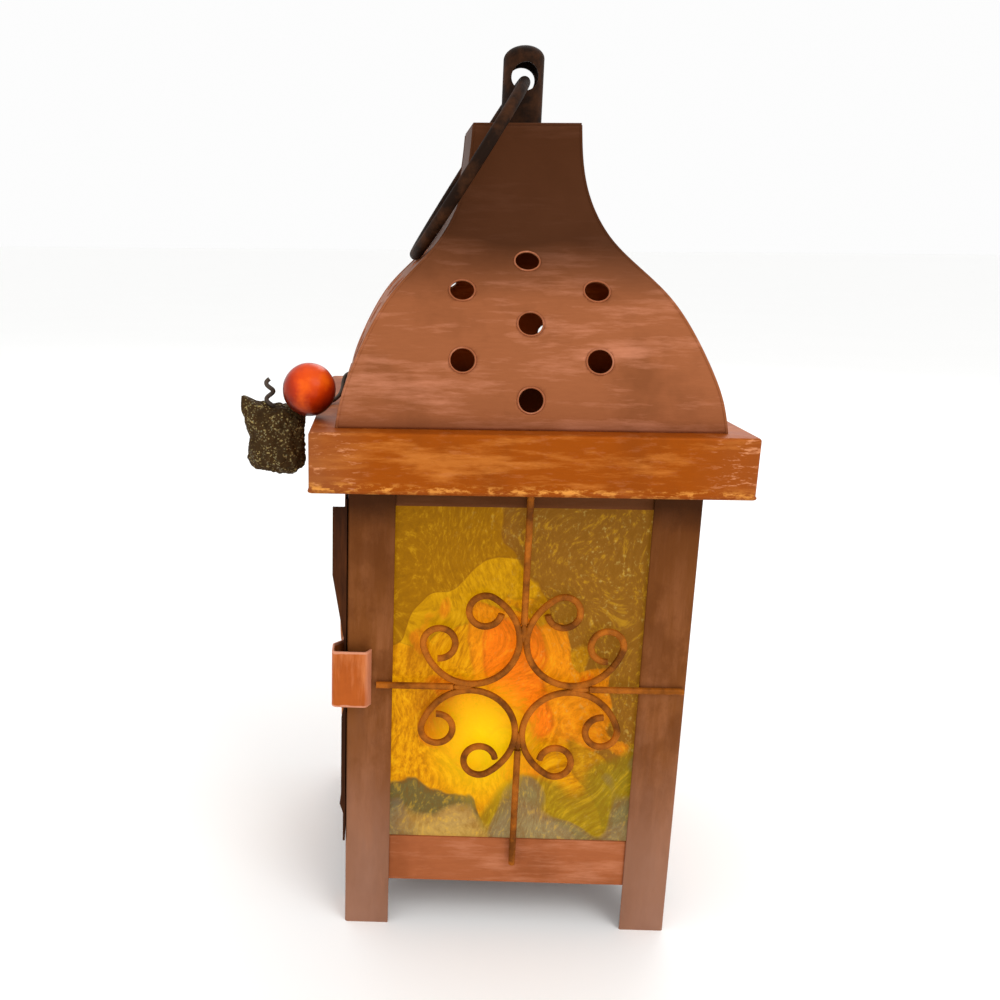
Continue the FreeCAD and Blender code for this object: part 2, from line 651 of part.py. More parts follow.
def pod_blank():
    middle = Vector(-number(f"{EAVE_HALF} + podOut"), -number(POD_FORWARD), number(f"{EAVE_TOP} - podDrop"))
    wide, tall, deep = number("podWidth"), number("podLength"), number("podDepth")
    layers = []
    for index, (outline, depth) in enumerate(LAYER_SHARES):
        corners = [middle + Vector(across * wide * outline, -deep * depth, up * tall * outline)
                   for across, up in HUSK_SHARES]
        layer = Part.Face(Part.makePolygon(corners + corners[:1])).extrude(Vector(0, 2 * deep * depth, 0))
        layers.append(feature(f"podLayer{index}", layer))
    return fuse("podBlank", *layers)


node(berry)
node(cut("sprig_pod", pod_blank(), fuse("podSeat", berry, stem)))
node(stem)

# Write each node as its own file
doc.recompute()
for item in doc.Objects:
    if "Invalid" in item.State or "Error" in item.State:
        raise RuntimeError(f"{item.Label} did not compute")
os.makedirs("parts", exist_ok=True)
for item in nodes:
    shape = item.Shape
    if shape.isNull() or not shape.isValid():
        raise RuntimeError(f"{item.Label} has no valid shape")
    shape.exportStep(f"parts/{item.Label}.step")
    box_size = shape.BoundBox
    print(f"{item.Label}: {len(shape.Solids)} solid, {shape.Volume:.0f} mm3, "
          f"{box_size.XLength:.1f} x {box_size.YLength:.1f} x {box_size.ZLength:.1f}")
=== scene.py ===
import json
import math

import bmesh
import bpy
import numpy as np
from mathutils import Matrix, Vector, noise


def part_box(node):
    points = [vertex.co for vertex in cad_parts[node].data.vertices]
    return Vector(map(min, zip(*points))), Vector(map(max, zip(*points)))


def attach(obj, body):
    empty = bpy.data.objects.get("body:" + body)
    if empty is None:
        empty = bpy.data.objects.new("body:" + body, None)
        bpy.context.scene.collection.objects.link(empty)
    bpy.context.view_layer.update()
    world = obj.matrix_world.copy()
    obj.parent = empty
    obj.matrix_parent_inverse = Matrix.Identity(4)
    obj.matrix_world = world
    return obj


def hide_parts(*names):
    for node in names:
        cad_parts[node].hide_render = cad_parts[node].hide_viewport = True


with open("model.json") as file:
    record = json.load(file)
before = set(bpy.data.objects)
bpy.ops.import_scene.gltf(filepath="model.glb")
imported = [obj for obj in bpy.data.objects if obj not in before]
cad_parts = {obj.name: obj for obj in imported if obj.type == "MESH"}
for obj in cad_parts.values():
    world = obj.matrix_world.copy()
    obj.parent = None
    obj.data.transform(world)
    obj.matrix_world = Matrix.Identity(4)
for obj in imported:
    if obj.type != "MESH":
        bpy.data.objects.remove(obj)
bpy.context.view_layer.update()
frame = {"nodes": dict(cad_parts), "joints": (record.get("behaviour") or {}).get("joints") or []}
nodes = frame["nodes"]
MM = 0.001


# Roof: four panels of thin tin bent to one ogee and soldered along the hips.
# Each is punched with seven holes from the inside, which leaves a raised rim.
# The tin is washed in copper lacquer and brushed crosswise while it dries.
class Value:
    """A node's output that can stand in a sum. Each step adds a Math node."""

    def __init__(self, finish, socket):
        self.finish = finish
        self.socket = socket

    def step(self, operation, left, right=0.0):
        return self.finish.node("ShaderNodeMath", {"operation": operation}, {0: left, 1: right})

    def __add__(self, other):
        return self.step("ADD", self, other)

    def __radd__(self, other):
        return self.step("ADD", other, self)

    def __sub__(self, other):
        return self.step("SUBTRACT", self, other)

    def __rsub__(self, other):
        return self.step("SUBTRACT", other, self)

    def __mul__(self, other):
        return self.step("MULTIPLY", self, other)

    def __rmul__(self, other):
        return self.step("MULTIPLY", other, self)

    def __pow__(self, other):
        return self.step("POWER", self, other)


class Finish:
    """A material whose patterns are written as sums of node outputs."""

    def __init__(self, name):
        self.material = bpy.data.materials.new(name)
        self.material.use_nodes = True
        self.tree = self.material.node_tree
        self.tree.nodes.clear()
        self.place = self.node("ShaderNodeTexCoord", out="Object")

    def node(self, kind, settings=None, sockets=None, out=0):
        made = self.tree.nodes.new(kind)
        for name, value in (settings or {}).items():
            setattr(made, name, value)
        for key, value in (sockets or {}).items():
            if isinstance(value, Value):
                self.tree.links.new(value.socket, made.inputs[key])
            else:
                made.inputs[key].default_value = value
        return Value(self, made.outputs[out])

    def axis(self, letter):
        return self.node("ShaderNodeSeparateXYZ", None, {0: self.place}, letter.upper())

    def noise(self, stretch, detail=4.0, roughness=0.5, shift=(0, 0, 0)):
        """Noise with its own number of cells to the metre along each axis."""
        moved = self.node("ShaderNodeMapping", None,
                          {"Vector": self.place, "Scale": stretch, "Location": shift})
        return self.node("ShaderNodeTexNoise", None,
                         {"Vector": moved, "Scale": 1.0, "Detail": detail, "Roughness": roughness})

    def ramp(self, value, low, high):
        """0 at low, 1 at high, with straight rise between and clamped ends."""
        return self.node("ShaderNodeMapRange", {"clamp": True},
                         {"Value": value, "From Min": low, "From Max": high})

    def mix(self, share, first, second, blend="MIX"):
        return self.node("ShaderNodeMix", {"data_type": "RGBA", "blend_type": blend},
                         {0: share, 6: first, 7: second}, 2)

    def bump(self, height, depth, strength=1.0, normal=None):
        sockets = {"Height": height, "Distance": depth, "Strength": strength}
        if normal is not None:
            sockets["Normal"] = normal
        return self.node("ShaderNodeBump", None, sockets)

    def surface(self, **sockets):
        """The shader itself: names with underscores are its sockets."""
        named = {key.replace("_", " "): value for key, value in sockets.items()}
        shader = self.node("ShaderNodeBsdfPrincipled", None, named)
        output = self.tree.nodes.new("ShaderNodeOutputMaterial")
        self.tree.links.new(shader.socket, output.inputs["Surface"])
        return self.material


def srgb(red, green, blue):
    """A screen colour, each part from 0 to 255, turned to linear light."""
    parts = [channel / 255 for channel in (red, green, blue)]
    return (*[part / 12.92 if part <= 0.04045 else ((part + 0.055) / 1.055) ** 2.4
              for part in parts], 1)


BRUSHED = {"x": (44, 250, 310), "y": (250, 44, 310), "z": (250, 250, 34), "round": (48, 48, 330)}


def lacquered_tin(name, body, streak, shade, along="x", metal=0.3, rough=0.42, tint=None,
                  streak_share=0.8, cover=(0.5, 0.64)):
    """Brushed and lacquered tin: strokes one way in ragged patches, soft stains and dents."""
    finish = Finish(name)
    streaks = finish.noise(BRUSHED[along], 6.0, 0.68)
    hairs = finish.noise(tuple(size * 4 for size in BRUSHED[along]), 3.0, 0.6, (1, 4, 2))
    patch = finish.noise(tuple(size * 0.22 + 14 for size in BRUSHED[along]), 3.0, 0.55, (3, 1, 2))
    stain = finish.noise((34, 34, 34), 4.0, 0.6, (7, 2, 5))
    fine = finish.noise((1100, 1100, 1100), 2.0)
    strokes = finish.ramp(streaks * 0.55 + patch * 0.45, *cover)
    colour = finish.mix(hairs * 0.35, body, shade)
    colour = finish.mix(finish.ramp(stain, 0.48, 0.7) * 0.6, colour, shade)
    colour = finish.mix(strokes * (0.35 + 0.65 * hairs) * streak_share, colour, streak)
    if tint is not None:
        colour = tint(finish, colour)
    relief = finish.bump(strokes * 0.5 + hairs * 0.35 + fine * 0.15, 0.00012, 0.7)
    dents = finish.bump(stain, 0.0009, 0.3, relief)
    return finish.surface(Base_Color=colour, Metallic=metal, Normal=dents, Specular_IOR_Level=0.08,
                          Roughness=rough + 0.2 * stain)


def placed(name, mesh):
    """A smooth object at the origin from a mesh whose points are in metres."""
    mesh.polygons.foreach_set("use_smooth", [True] * len(mesh.polygons))
    mesh.update()
    made = bpy.data.objects.new(name, mesh)
    bpy.context.scene.collection.objects.link(made)
    return made


def from_work(name, work):
    mesh = bpy.data.meshes.new(name)
    work.to_mesh(mesh)
    work.free()
    return placed(name, mesh)


def lay_mesh(name, points, faces=(), edges=()):
    mesh = bpy.data.meshes.new(name)
    mesh.from_pydata([tuple(point) for point in points], edges, [tuple(face) for face in faces])
    mesh.validate()
    return placed(name, mesh)


WELD = 0.002 * MM


def outward(made):
    """Merges doubles and turns every face outwards."""
    work = bmesh.new()
    work.from_mesh(made.data)
    bmesh.ops.remove_doubles(work, verts=work.verts, dist=WELD)
    bmesh.ops.recalc_face_normals(work, faces=work.faces)
    work.to_mesh(made.data)
    work.free()
    return made


def dressed(made, finish, body, slot, *replaced):
    """Gives a piece its finish and its body; the slot is not used."""
    made.data.materials.clear()
    made.data.materials.append(finish)
    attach(made, body)
    if replaced:
        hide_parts(*replaced)
    return made


def baked(made):
    """Turns a piece and its modifiers into a plain mesh."""
    bpy.context.view_layer.update()
    graph = bpy.context.evaluated_depsgraph_get()
    old, made_plain = made.data, bpy.data.meshes.new_from_object(made.evaluated_get(graph))
    made.modifiers.clear()
    made.data = made_plain
    bpy.data.meshes.remove(old)
    return made


ROOF_COPPER, ROOF_STREAK, ROOF_SHADE = srgb(154, 90, 54), srgb(202, 132, 100), srgb(116, 64, 32)
PROFILE_SHARES = [(0, 1), (0.098, 0.96), (0.209, 0.873), (0.321, 0.757), (0.425, 0.613),
                  (0.531, 0.395), (0.608, 0.245), (0.683, 0.146), (0.772, 0.07), (0.883, 0.021), (1, 0)]
PUNCH_SHARES = [(0, 0.54), (-1, 0.445), (1, 0.445), (0, 0.34), (-1, 0.223), (1, 0.223), (0, 0.098)]
PUNCH_RADIUS = 4.5 * MM
PUNCH_COLUMN = 23.5 * MM
ROOF_TIN = 0.9 * MM
ROOF_ROWS, ROOF_COLUMNS = 120, 96
NECK_SHADE_FADE, ROOF_FOOT_SHADE_FADE = (0.247, 0.27), (0.204, 0.1995)
SIDE_TURNS = {"front": 0, "right": 90, "rear": 180, "left": 270}
roof_low, roof_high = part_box("front_roof_panel")
neck_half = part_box("neck_cap")[1].x
roof_half = roof_high.x


def smooth_run(knots, count):
    """Even steps along a smooth curve through the knots (a natural cubic spline)."""
    knots = np.array(knots, float)
    step = np.concatenate([[0], np.cumsum(np.linalg.norm(np.diff(knots, axis=0), axis=1))])
    gaps = np.diff(step)
    size = len(knots)
    matrix, right = np.eye(size), np.zeros((size, knots.shape[1]))
    for row in range(1, size - 1):
        matrix[row, row - 1:row + 2] = gaps[row - 1], 2 * (gaps[row - 1] + gaps[row]), gaps[row]
        slopes = np.diff(knots[row - 1:row + 2], axis=0) / gaps[row - 1:row + 1, None]
        right[row] = 6 * (slopes[1] - slopes[0])
    bend = np.linalg.solve(matrix, right)

    def at(places):
        index = np.clip(np.searchsorted(step, places, "right") - 1, 0, size - 2)
        gap = gaps[index][:, None]
        into = (places - step[index])[:, None]
        left = gap - into
        return (bend[index] * left ** 3 / (6 * gap) + bend[index + 1] * into ** 3 / (6 * gap)
                + (knots[index] / gap - bend[index] * gap / 6) * left
                + (knots[index + 1] / gap - bend[index + 1] * gap / 6) * into)

    dense = at(np.linspace(0, step[-1], 10 * (count - 1)))
    length = np.concatenate([[0], np.cumsum(np.linalg.norm(np.diff(dense, axis=0), axis=1))])
    even = np.linspace(0, length[-1], count)
    run = np.stack([np.interp(even, length, dense[:, axis]) for axis in range(dense.shape[1])], 1)
    return run, even


rise = roof_high.z - roof_low.z
profile_knots = [(neck_half + (roof_half - neck_half) * out, roof_low.z + rise * up)
                 for up, out in PROFILE_SHARES]
profile, profile_length = smooth_run(profile_knots, ROOF_ROWS + 1)


def on_profile(length):
    """Distance from the middle and height at a length along the ogee."""
    return [float(np.interp(length, profile_length, profile[:, axis])) for axis in (0, 1)]


def turned(point, degrees):
    """A point of the front turned round the lantern's axis to another side."""
    return Matrix.Rotation(math.radians(degrees), 3, "Z") @ Vector(point)


punch_marks = [(column * PUNCH_COLUMN,
                float(np.interp(roof_low.z + rise * share, profile[:, 1], profile_length)))
               for column, share in PUNCH_SHARES]


def roof_panel(side, degrees):
    """A grid over the ogee, opened at each punched hole and snapped to its circle."""
    flat, wide = [], ROOF_COLUMNS + 1
    for half, length in zip(profile[:, 0], profile_length):
        flat.extend([(column * 2 / ROOF_COLUMNS - 1) * half, length] for column in range(wide))
    faces, opened = [], set()
    for row in range(ROOF_ROWS):
        for column in range(ROOF_COLUMNS):
            corner = row * wide + column
            face = (corner, corner + 1, corner + wide + 1, corner + wide)
            middle = np.mean([flat[index] for index in face], axis=0)
            hole = next((mark for mark in punch_marks if math.dist(middle, mark) < PUNCH_RADIUS), None)
            if hole is None:
                faces.append(face)
            else:
                opened.update((index, hole) for index in face)
    kept = sorted({index for face in faces for index in face})
    order = {index: place for place, index in enumerate(kept)}
    for index, hole in opened:
        if index in order:
            away = math.dist(flat[index], hole)
            flat[index] = [hole[part] + (flat[index][part] - hole[part]) * PUNCH_RADIUS / away
                           for part in (0, 1)]
    points = []
    for over, length in (flat[index] for index in kept):
        out, height = on_profile(length)
        points.append(turned((over, -out, height), degrees))
    made = lay_mesh(f"{side}_roof_skin", points, [[order[index] for index in face] for face in faces])
    wall = made.modifiers.new("wall", "SOLIDIFY")
    wall.thickness = ROOF_TIN
    wall.offset = -1
    return baked(made)


def painted_roof_shade(finish, colour):
    """Painted shade: darker on the neck and on the roof's foot just above the eave."""
    height = finish.axis("z")
    wobble = finish.noise((22, 22, 30), 3.0, 0.5, (6, 6, 6))
    # Painted shade on the neck and upper roof, and on the foot just above the eave.
    top = finish.ramp(height + wobble * 0.012, *NECK_SHADE_FADE)
    foot = finish.ramp(height, *ROOF_FOOT_SHADE_FADE)
    colour = finish.mix(foot * 0.5, colour, srgb(104, 56, 30))
    return finish.mix(top * 0.92, colour, srgb(62, 31, 10))


# Each roof finish carries the painted shade of the neck and foot.
roof_finishes = {axis: lacquered_tin(f"roof copper {axis}", ROOF_COPPER, ROOF_STREAK, ROOF_SHADE, axis,
                                     tint=painted_roof_shade, rough=0.46) for axis in "xy"}
for side, degrees in SIDE_TURNS.items():
    finish = roof_finishes["x" if side in ("front", "rear") else "y"]
    dressed(roof_panel(side, degrees), finish, "lantern", "roof_tin", f"{side}_roof_panel")


class Recipe:
    """Geometry Nodes written in order: each call adds a node and gives it back."""

    def __init__(self, name, inputs):
        self.tree = bpy.data.node_groups.new(name, "GeometryNodeTree")
        self.tree.interface.new_socket("Geometry", in_out="INPUT", socket_type="NodeSocketGeometry")
        for label, kind in inputs.items():
            self.tree.interface.new_socket(label, in_out="INPUT", socket_type=kind)
        self.tree.interface.new_socket("Geometry", in_out="OUTPUT", socket_type="NodeSocketGeometry")
        self.start = self.tree.nodes.new("NodeGroupInput")

    def add(self, kind, sockets=None, **settings):
        made = self.tree.nodes.new(kind)
        for name, value in settings.items():
            setattr(made, name, value)
        for key, value in (sockets or {}).items():
            if isinstance(value, bpy.types.NodeSocket):
                self.tree.links.new(value, made.inputs[key])
            else:
                made.inputs[key].default_value = value
        return made

    def end(self, geometry):
        out = self.tree.nodes.new("NodeGroupOutput")
        self.tree.links.new(geometry, out.inputs["Geometry"])
        return self

    def run(self, made, **values):
        """Runs the tree on an object with its inputs set and keeps a plain mesh."""
        modifier = made.modifiers.new("recipe", "NODES")
        modifier.node_group = self.tree
        for item in self.tree.interface.items_tree:
            if item.in_out == "INPUT" and item.name in values:
                modifier[item.identifier] = values[item.name]
        return baked(made)


def wire_recipe():
    """Round wire along every run of edges, with closed ends."""
    recipe = Recipe("round wire", {"Radius": "NodeSocketFloat", "Sides": "NodeSocketInt",
                                   "Finish": "NodeSocketMaterial"})
    curve = recipe.add("GeometryNodeMeshToCurve", {"Mesh": recipe.start.outputs["Geometry"]})
    ring = recipe.add("GeometryNodeCurvePrimitiveCircle", {"Resolution": recipe.start.outputs["Sides"],
                                                           "Radius": recipe.start.outputs["Radius"]})
    tube = recipe.add("GeometryNodeCurveToMesh", {"Curve": curve.outputs[0],
                                                  "Profile Curve": ring.outputs["Curve"],
                                                  "Fill Caps": True})
    smooth = recipe.add("GeometryNodeSetShadeSmooth", {"Geometry": tube.outputs["Mesh"]})
    solid = recipe.add("GeometryNodeRealizeInstances", {"Geometry": smooth.outputs["Geometry"]})
    coated = recipe.add("GeometryNodeSetMaterial", {"Geometry": solid.outputs["Geometry"],
                                                    "Material": recipe.start.outputs["Finish"]})
    return recipe.end(coated.outputs["Geometry"])


round_wire = wire_recipe()


def wires(name, runs, radius, sides, finish, body, slot, *replaced):
    """Open or closed runs of points, swept as round wire into one dressed piece."""
    points, edges = [], []
    for run, closed in runs:
        first = len(points)
        points.extend(run)
        edges.extend((first + index, first + index + 1) for index in range(len(run) - 1))
        if closed:
            edges.append((len(points) - 1, first))
    made = round_wire.run(lay_mesh(name, points, edges=edges), Radius=radius, Sides=sides, Finish=finish)
    dressed(outward(made), finish, body, slot, *replaced)


# Rims and hips: a burr stands round each punched hole where the punch came
# through, and a thin bead of solder runs down each hip of the roof.
RIM_RADIUS = 0.34 * MM
RIM_STEPS = 40
HIP_BEAD = 0.6 * MM
HIP_SINK = 0.55
rim_finish = lacquered_tin("punched rims", srgb(164, 96, 62), srgb(206, 140, 108),
                           srgb(112, 60, 32), "z")


def punch_rim(over, length, degrees):
    rim = []
    for step in range(RIM_STEPS):
        angle = step * math.tau / RIM_STEPS
        out, height = on_profile(length + PUNCH_RADIUS * math.sin(angle))
        rim.append(turned((over + PUNCH_RADIUS * math.cos(angle), -out, height), degrees))
    return rim, True


rims = [punch_rim(*mark, degrees) for degrees in SIDE_TURNS.values() for mark in punch_marks]
wires("punch_rims", rims, RIM_RADIUS, 8, rim_finish, "lantern", "roof_tin")
hip_line = [(out - HIP_BEAD * HIP_SINK, HIP_BEAD * HIP_SINK - out, height) for out, height in profile]
hips = [([turned(point, degrees) for point in hip_line], False) for degrees in SIDE_TURNS.values()]
wires("hip_beads", hips, HIP_BEAD, 10, roof_finishes["x"], "lantern", "roof_tin")

# Eave band: one strip of tin folded round a flat ledge, with a rolled hem
# along its foot. It carries the roof and caps the four posts.
EAVE_TIN = 0.8 * MM
EAVE_BEND = 1.1 * MM
EAVE_HEM = 0.75 * MM
HEM_STANDS = 0.25 * MM
EAVE_CORNER, LEDGE_CORNER = 1.4 * MM, 0.4 * MM
LEDGE_REACH = 4.5 * MM
HEM_START, HEM_TURN = 55, 235
eave_low, eave_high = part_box("eave_band")
eave_wall = eave_high.x - HEM_STANDS
ledge_inner = -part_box("front_left_post")[0].x - LEDGE_REACH


def arc(across, up, radius, start, end, steps):
    """Points round a centre from one angle to another, in degrees."""
    angles = [math.radians(start + (end - start) * step / steps) for step in range(steps + 1)]
    return [(across + radius * math.cos(angle), up + radius * math.sin(angle)) for angle in angles]


def square_loop(half, radius, height, runs=14, bends=5):
    """A square with rounded corners at one height, as evenly numbered points."""
    loop = []
    for quarter in range(4):
        corner = arc(half - radius, half - radius, radius, 0, 90, bends)
        loop.extend(turned((*point, height), 90 * quarter) for point in corner)
        start, end = loop[-1], turned((half, half - radius, height), 90 * (quarter + 1))
        loop.extend(start.lerp(end, step / runs) for step in range(1, runs))
    return loop


def eave_section():
    """The fold of the band from the ledge's inner edge to the hem, as (half, height)."""
    section = [(ledge_inner, eave_high.z - EAVE_TIN), (ledge_inner, eave_high.z)]
    section += arc(eave_wall - EAVE_BEND, eave_high.z - EAVE_BEND, EAVE_BEND, 90, 0, 5)
    section += arc(eave_wall - EAVE_HEM + HEM_STANDS, eave_low.z + EAVE_HEM, EAVE_HEM,
                   HEM_START, HEM_START - HEM_TURN, 8)
    return section + [(eave_wall - EAVE_TIN, eave_low.z + EAVE_HEM * 2),
                      (eave_wall - EAVE_TIN, eave_high.z - EAVE_TIN)]


def skinned(count, rows, joined=False):
    """Faces between rows of points, each row a closed loop of the same count."""
    faces = []
    for row in range(rows if joined else rows - 1):
        following = (row + 1) % rows
        for index in range(count):
            beside = (index + 1) % count
            faces.append((row * count + index, row * count + beside,
                          following * count + beside, following * count + index))
    return faces


def sharp_folds(made, degrees):
    """Keeps folds crisp between smooth faces."""
    split = made.modifiers.new("folds", "EDGE_SPLIT")
    split.split_angle = math.radians(degrees)
    return made


def eave_band():
    loops = [square_loop(half, EAVE_CORNER if half > ledge_inner else LEDGE_CORNER, height)
             for half, height in eave_section()]
    points = [point for loop in loops for point in loop]
    faces = skinned(len(loops[0]), len(loops), joined=True)
    return baked(sharp_folds(outward(lay_mesh("eave_band_folded", points, faces)), 35))


def eave_wear_and_hem_shade(finish, colour):
    """Brown at the ends and worn bright along the foot, with painted shade under the rolled hem."""
    height, across, depth = finish.axis("z"), finish.axis("x"), finish.axis("y")
    wobble = finish.noise((30, 30, 8), 3.0)
    corner = (across * depth * 1000) ** 2  # 0 in the middle of each side, 33 at the corners
    ends = finish.ramp(corner, 16, 30) * finish.ramp(wobble, 0.3, 0.55)
    colour = finish.mix(ends * 0.7, colour, srgb(148, 84, 44))
    scratch = finish.ramp(finish.noise((120, 120, 520), 4.0, 0.7, (9, 2, 3)), 0.55, 0.64)
    rubbed = finish.ramp(corner + wobble * 12, 24, 30)
    colour = finish.mix(scratch * (0.08 + 0.5 * rubbed), colour, srgb(228, 156, 108))
    foot = finish.ramp(height - wobble * 0.004, eave_low.z + 0.0022, eave_low.z - 0.0006)
    marks = finish.ramp(finish.noise((200, 200, 520), 4.0, 0.7, (3, 8, 6)), 0.49, 0.6)
    colour = finish.mix(foot * marks * 0.8, colour, srgb(236, 160, 72))
    # Painted shade under the rolled hem at the very foot.
    hem = finish.ramp(height, eave_low.z + 0.0016, eave_low.z + 0.0008)
    return finish.mix(hem * 0.6, colour, srgb(128, 60, 14))


eave_finish = lacquered_tin("eave orange", srgb(158, 74, 2), srgb(220, 136, 58), srgb(122, 56, 8),
                            "round", rough=0.4, tint=eave_wear_and_hem_shade, streak_share=0.6, cover=(0.51, 0.62))
dressed(eave_band(), eave_finish, "lantern", "eave_tin", "eave_band")

# Corner posts: angles folded from one strip, four legs to the floor. The
# head is darkened with painted shade under the eave, and the colour turns pinkish grey towards the feet.
POST_LEG = 17 * MM
POST_TIN = 0.9 * MM
POST_BEND = 1.1 * MM
POST_HEM = 0.3 * MM
POST_LEVELS = 24
FEET_FADE, SMUDGE_FADE = (0.135, 0.02), (0.04, 0.1)
HEAD_SHADE_FADE, EAVE_SHADOW = (0.12, 0.172), (0.166, 0.176)


def capped(count, rows):
    """Faces between rows of points, with a face over each end."""
    return skinned(count, rows) + [range(count), range((rows - 1) * count, rows * count)]


def post_section():
    """The angle's outline from the tip of one leg, round the bend, to the other tip and back."""
    section = [(POST_LEG, POST_TIN - POST_HEM), (POST_LEG, POST_HEM), (POST_LEG - POST_HEM, 0)]
    section += arc(POST_BEND, POST_BEND, POST_BEND, 270, 180, 5)
    return section + [(0, POST_LEG - POST_HEM), (POST_HEM, POST_LEG),
                      (POST_TIN - POST_HEM, POST_LEG), (POST_TIN, POST_LEG - POST_HEM),
                      (POST_TIN, POST_TIN), (POST_LEG - POST_HEM, POST_TIN)]


def corner_post(node, degrees):
    low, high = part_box(node)
    half = max(abs(low.x), abs(high.x))
    section = post_section()
    points = []
    for level in range(POST_LEVELS + 1):
        height = low.z + (high.z - low.z) * level / POST_LEVELS
        points.extend(turned((u - half, v - half, height), degrees) for u, v in section)
    faces = capped(len(section), POST_LEVELS + 1)
    return baked(sharp_folds(outward(lay_mesh(node + "_folded", points, faces)), 50))


def post_smudges_and_shade(finish, colour):
    """Pinkish grey towards the feet, smudged higher up, with painted shade at the head and a painted
    shadow just under the eave.
    """
    height = finish.axis("z")
    blotch = finish.noise((60, 60, 22), 4.0, 0.6, (4, 4, 4))
    low = finish.ramp(height + blotch * 0.09, *FEET_FADE)
    colour = finish.mix(low * 0.85, colour, srgb(164, 122, 102))
    smudge = finish.noise((90, 90, 70), 5.0, 0.65, (2, 7, 1))
    smudges = finish.ramp(smudge, 0.48, 0.6) * finish.ramp(height, *SMUDGE_FADE)
    colour = finish.mix(smudges * 0.5, colour, srgb(104, 56, 20))
    # Painted shade at the head, darkest in a painted shadow just under the eave.
    head = finish.ramp(height + smudge * 0.01, *HEAD_SHADE_FADE)
    colour = finish.mix(head * 0.6, colour, srgb(86, 44, 14))
    return finish.mix(finish.ramp(height + smudge * 0.008, *EAVE_SHADOW) * 0.8, colour, srgb(58, 28, 8))


post_finish = lacquered_tin("post brown", srgb(128, 74, 32), srgb(154, 96, 58), srgb(98, 52, 20), "z",
                            rough=0.46, tint=post_smudges_and_shade, streak_share=0.75, cover=(0.47, 0.62))
for node, degrees in {"front_left_post": 0, "front_right_post": 90,
                      "rear_right_post": 180, "rear_left_post": 270}.items():
    dressed(corner_post(node, degrees), post_finish, "lantern", "post_tin", node)


# Rails, pan, corner strips, neck cap and candle cup: cut and folded from the same
# tin. They stay as the model has them, with eased edges and their own finish.
TOP_RAIL_SHADE_FADE = (0.16, 0.172)


def soft_edges(made, width, angle):
    bevel = made.modifiers.new("eased", "BEVEL")
    bevel.width = width
    bevel.segments = 2
    bevel.angle_limit = math.radians(angle)


def eased(name, finish, width=0.2 * MM, angle=35):
    """A node that stays as modelled: its edges are eased and its faces smoothed."""
    made = nodes[name]
    made.data.materials.clear()
    made.data.materials.append(finish)
    made.data.polygons.foreach_set("material_index", [0] * len(made.data.polygons))
    made.data.polygons.foreach_set("use_smooth", [True] * len(made.data.polygons))
    weld = made.modifiers.new("weld", "WELD")
    weld.merge_threshold = WELD
    if width:
        soft_edges(made, width, angle)
    return sharp_folds(made, angle)


def painted_top_rail_shade(finish, colour):
    """Painted shadow: the top rails are darker where they lie under the eave."""
    return finish.mix(finish.ramp(finish.axis("z"), *TOP_RAIL_SHADE_FADE) * 0.9, colour, srgb(72, 38, 10))


# The rail finishes carry painted shadow along the top rails.
rail_finishes = {axis: lacquered_tin(f"rail copper {axis}", srgb(172, 98, 58), srgb(206, 136, 100),
                                     srgb(124, 64, 30), axis, tint=painted_top_rail_shade) for axis in "xy"}
for side in SIDE_TURNS:
    for level in ("bottom", "top"):
        eased(f"{side}_{level}_rail", rail_finishes["x" if side in ("front", "rear") else "y"])
inner_finish = lacquered_tin("inner tin", srgb(94, 58, 34), srgb(124, 82, 54), srgb(58, 34, 18), "x",
                             rough=0.5)
for name in ("floor_pan", "glass_corner_strips", "candle_cup"):
    eased(name, inner_finish, 0.1 * MM)
# The neck cap shares the roof's finish, with its painted shade.
eased("neck_cap", roof_finishes["x"])

# Hanger tube and carry ring: a domed tube drilled across, and a ring of heavy
# wire through it, both japanned almost black.
japan = Finish("black japan")
grain = japan.noise((220, 220, 220), 4.0, 0.6)
worn = japan.noise((70, 70, 70), 5.0, 0.65, (2, 9, 4))
iron = japan.mix(japan.ramp(worn, 0.48, 0.7) * 0.7, srgb(30, 17, 9), srgb(82, 48, 26))
iron_finish = japan.surface(Base_Color=iron, Roughness=0.5 + 0.2 * worn, Specular_IOR_Level=0.05,
                            Normal=japan.bump(grain, 0.00025, 0.7))
eased("hanger_tube", iron_finish, 0)
ring_low, ring_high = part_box("carry_ring")
ring_pivot = Vector(next(joint for joint in frame["joints"] if joint["name"] == "ring_swing")["pos_m"])
RING_WIRE = 4.5 * MM
OUT_OF_ROUND = 0.008
ring_mean = (ring_high.y - ring_low.y - RING_WIRE) / 2
ring_middle = (ring_low + ring_high) / 2
ring_down = (ring_middle - ring_pivot).normalized()


def ring_run(steps=144):
    """The bent ring: true where it hangs, a little out of round further down."""
    run = []
    for step in range(steps):
        angle = step * math.tau / steps
        reach = ring_mean * (1 - OUT_OF_ROUND * math.sin(angle * 2) ** 2)
        run.append(ring_middle - ring_down * math.cos(angle) * ring_mean
                   + Vector((0, math.sin(angle) * reach, 0)))
    return run


wires("carry_ring_wire", [(ring_run(), True)], RING_WIRE / 2, 24, iron_finish,
      "ring", "dark_iron", "carry_ring")

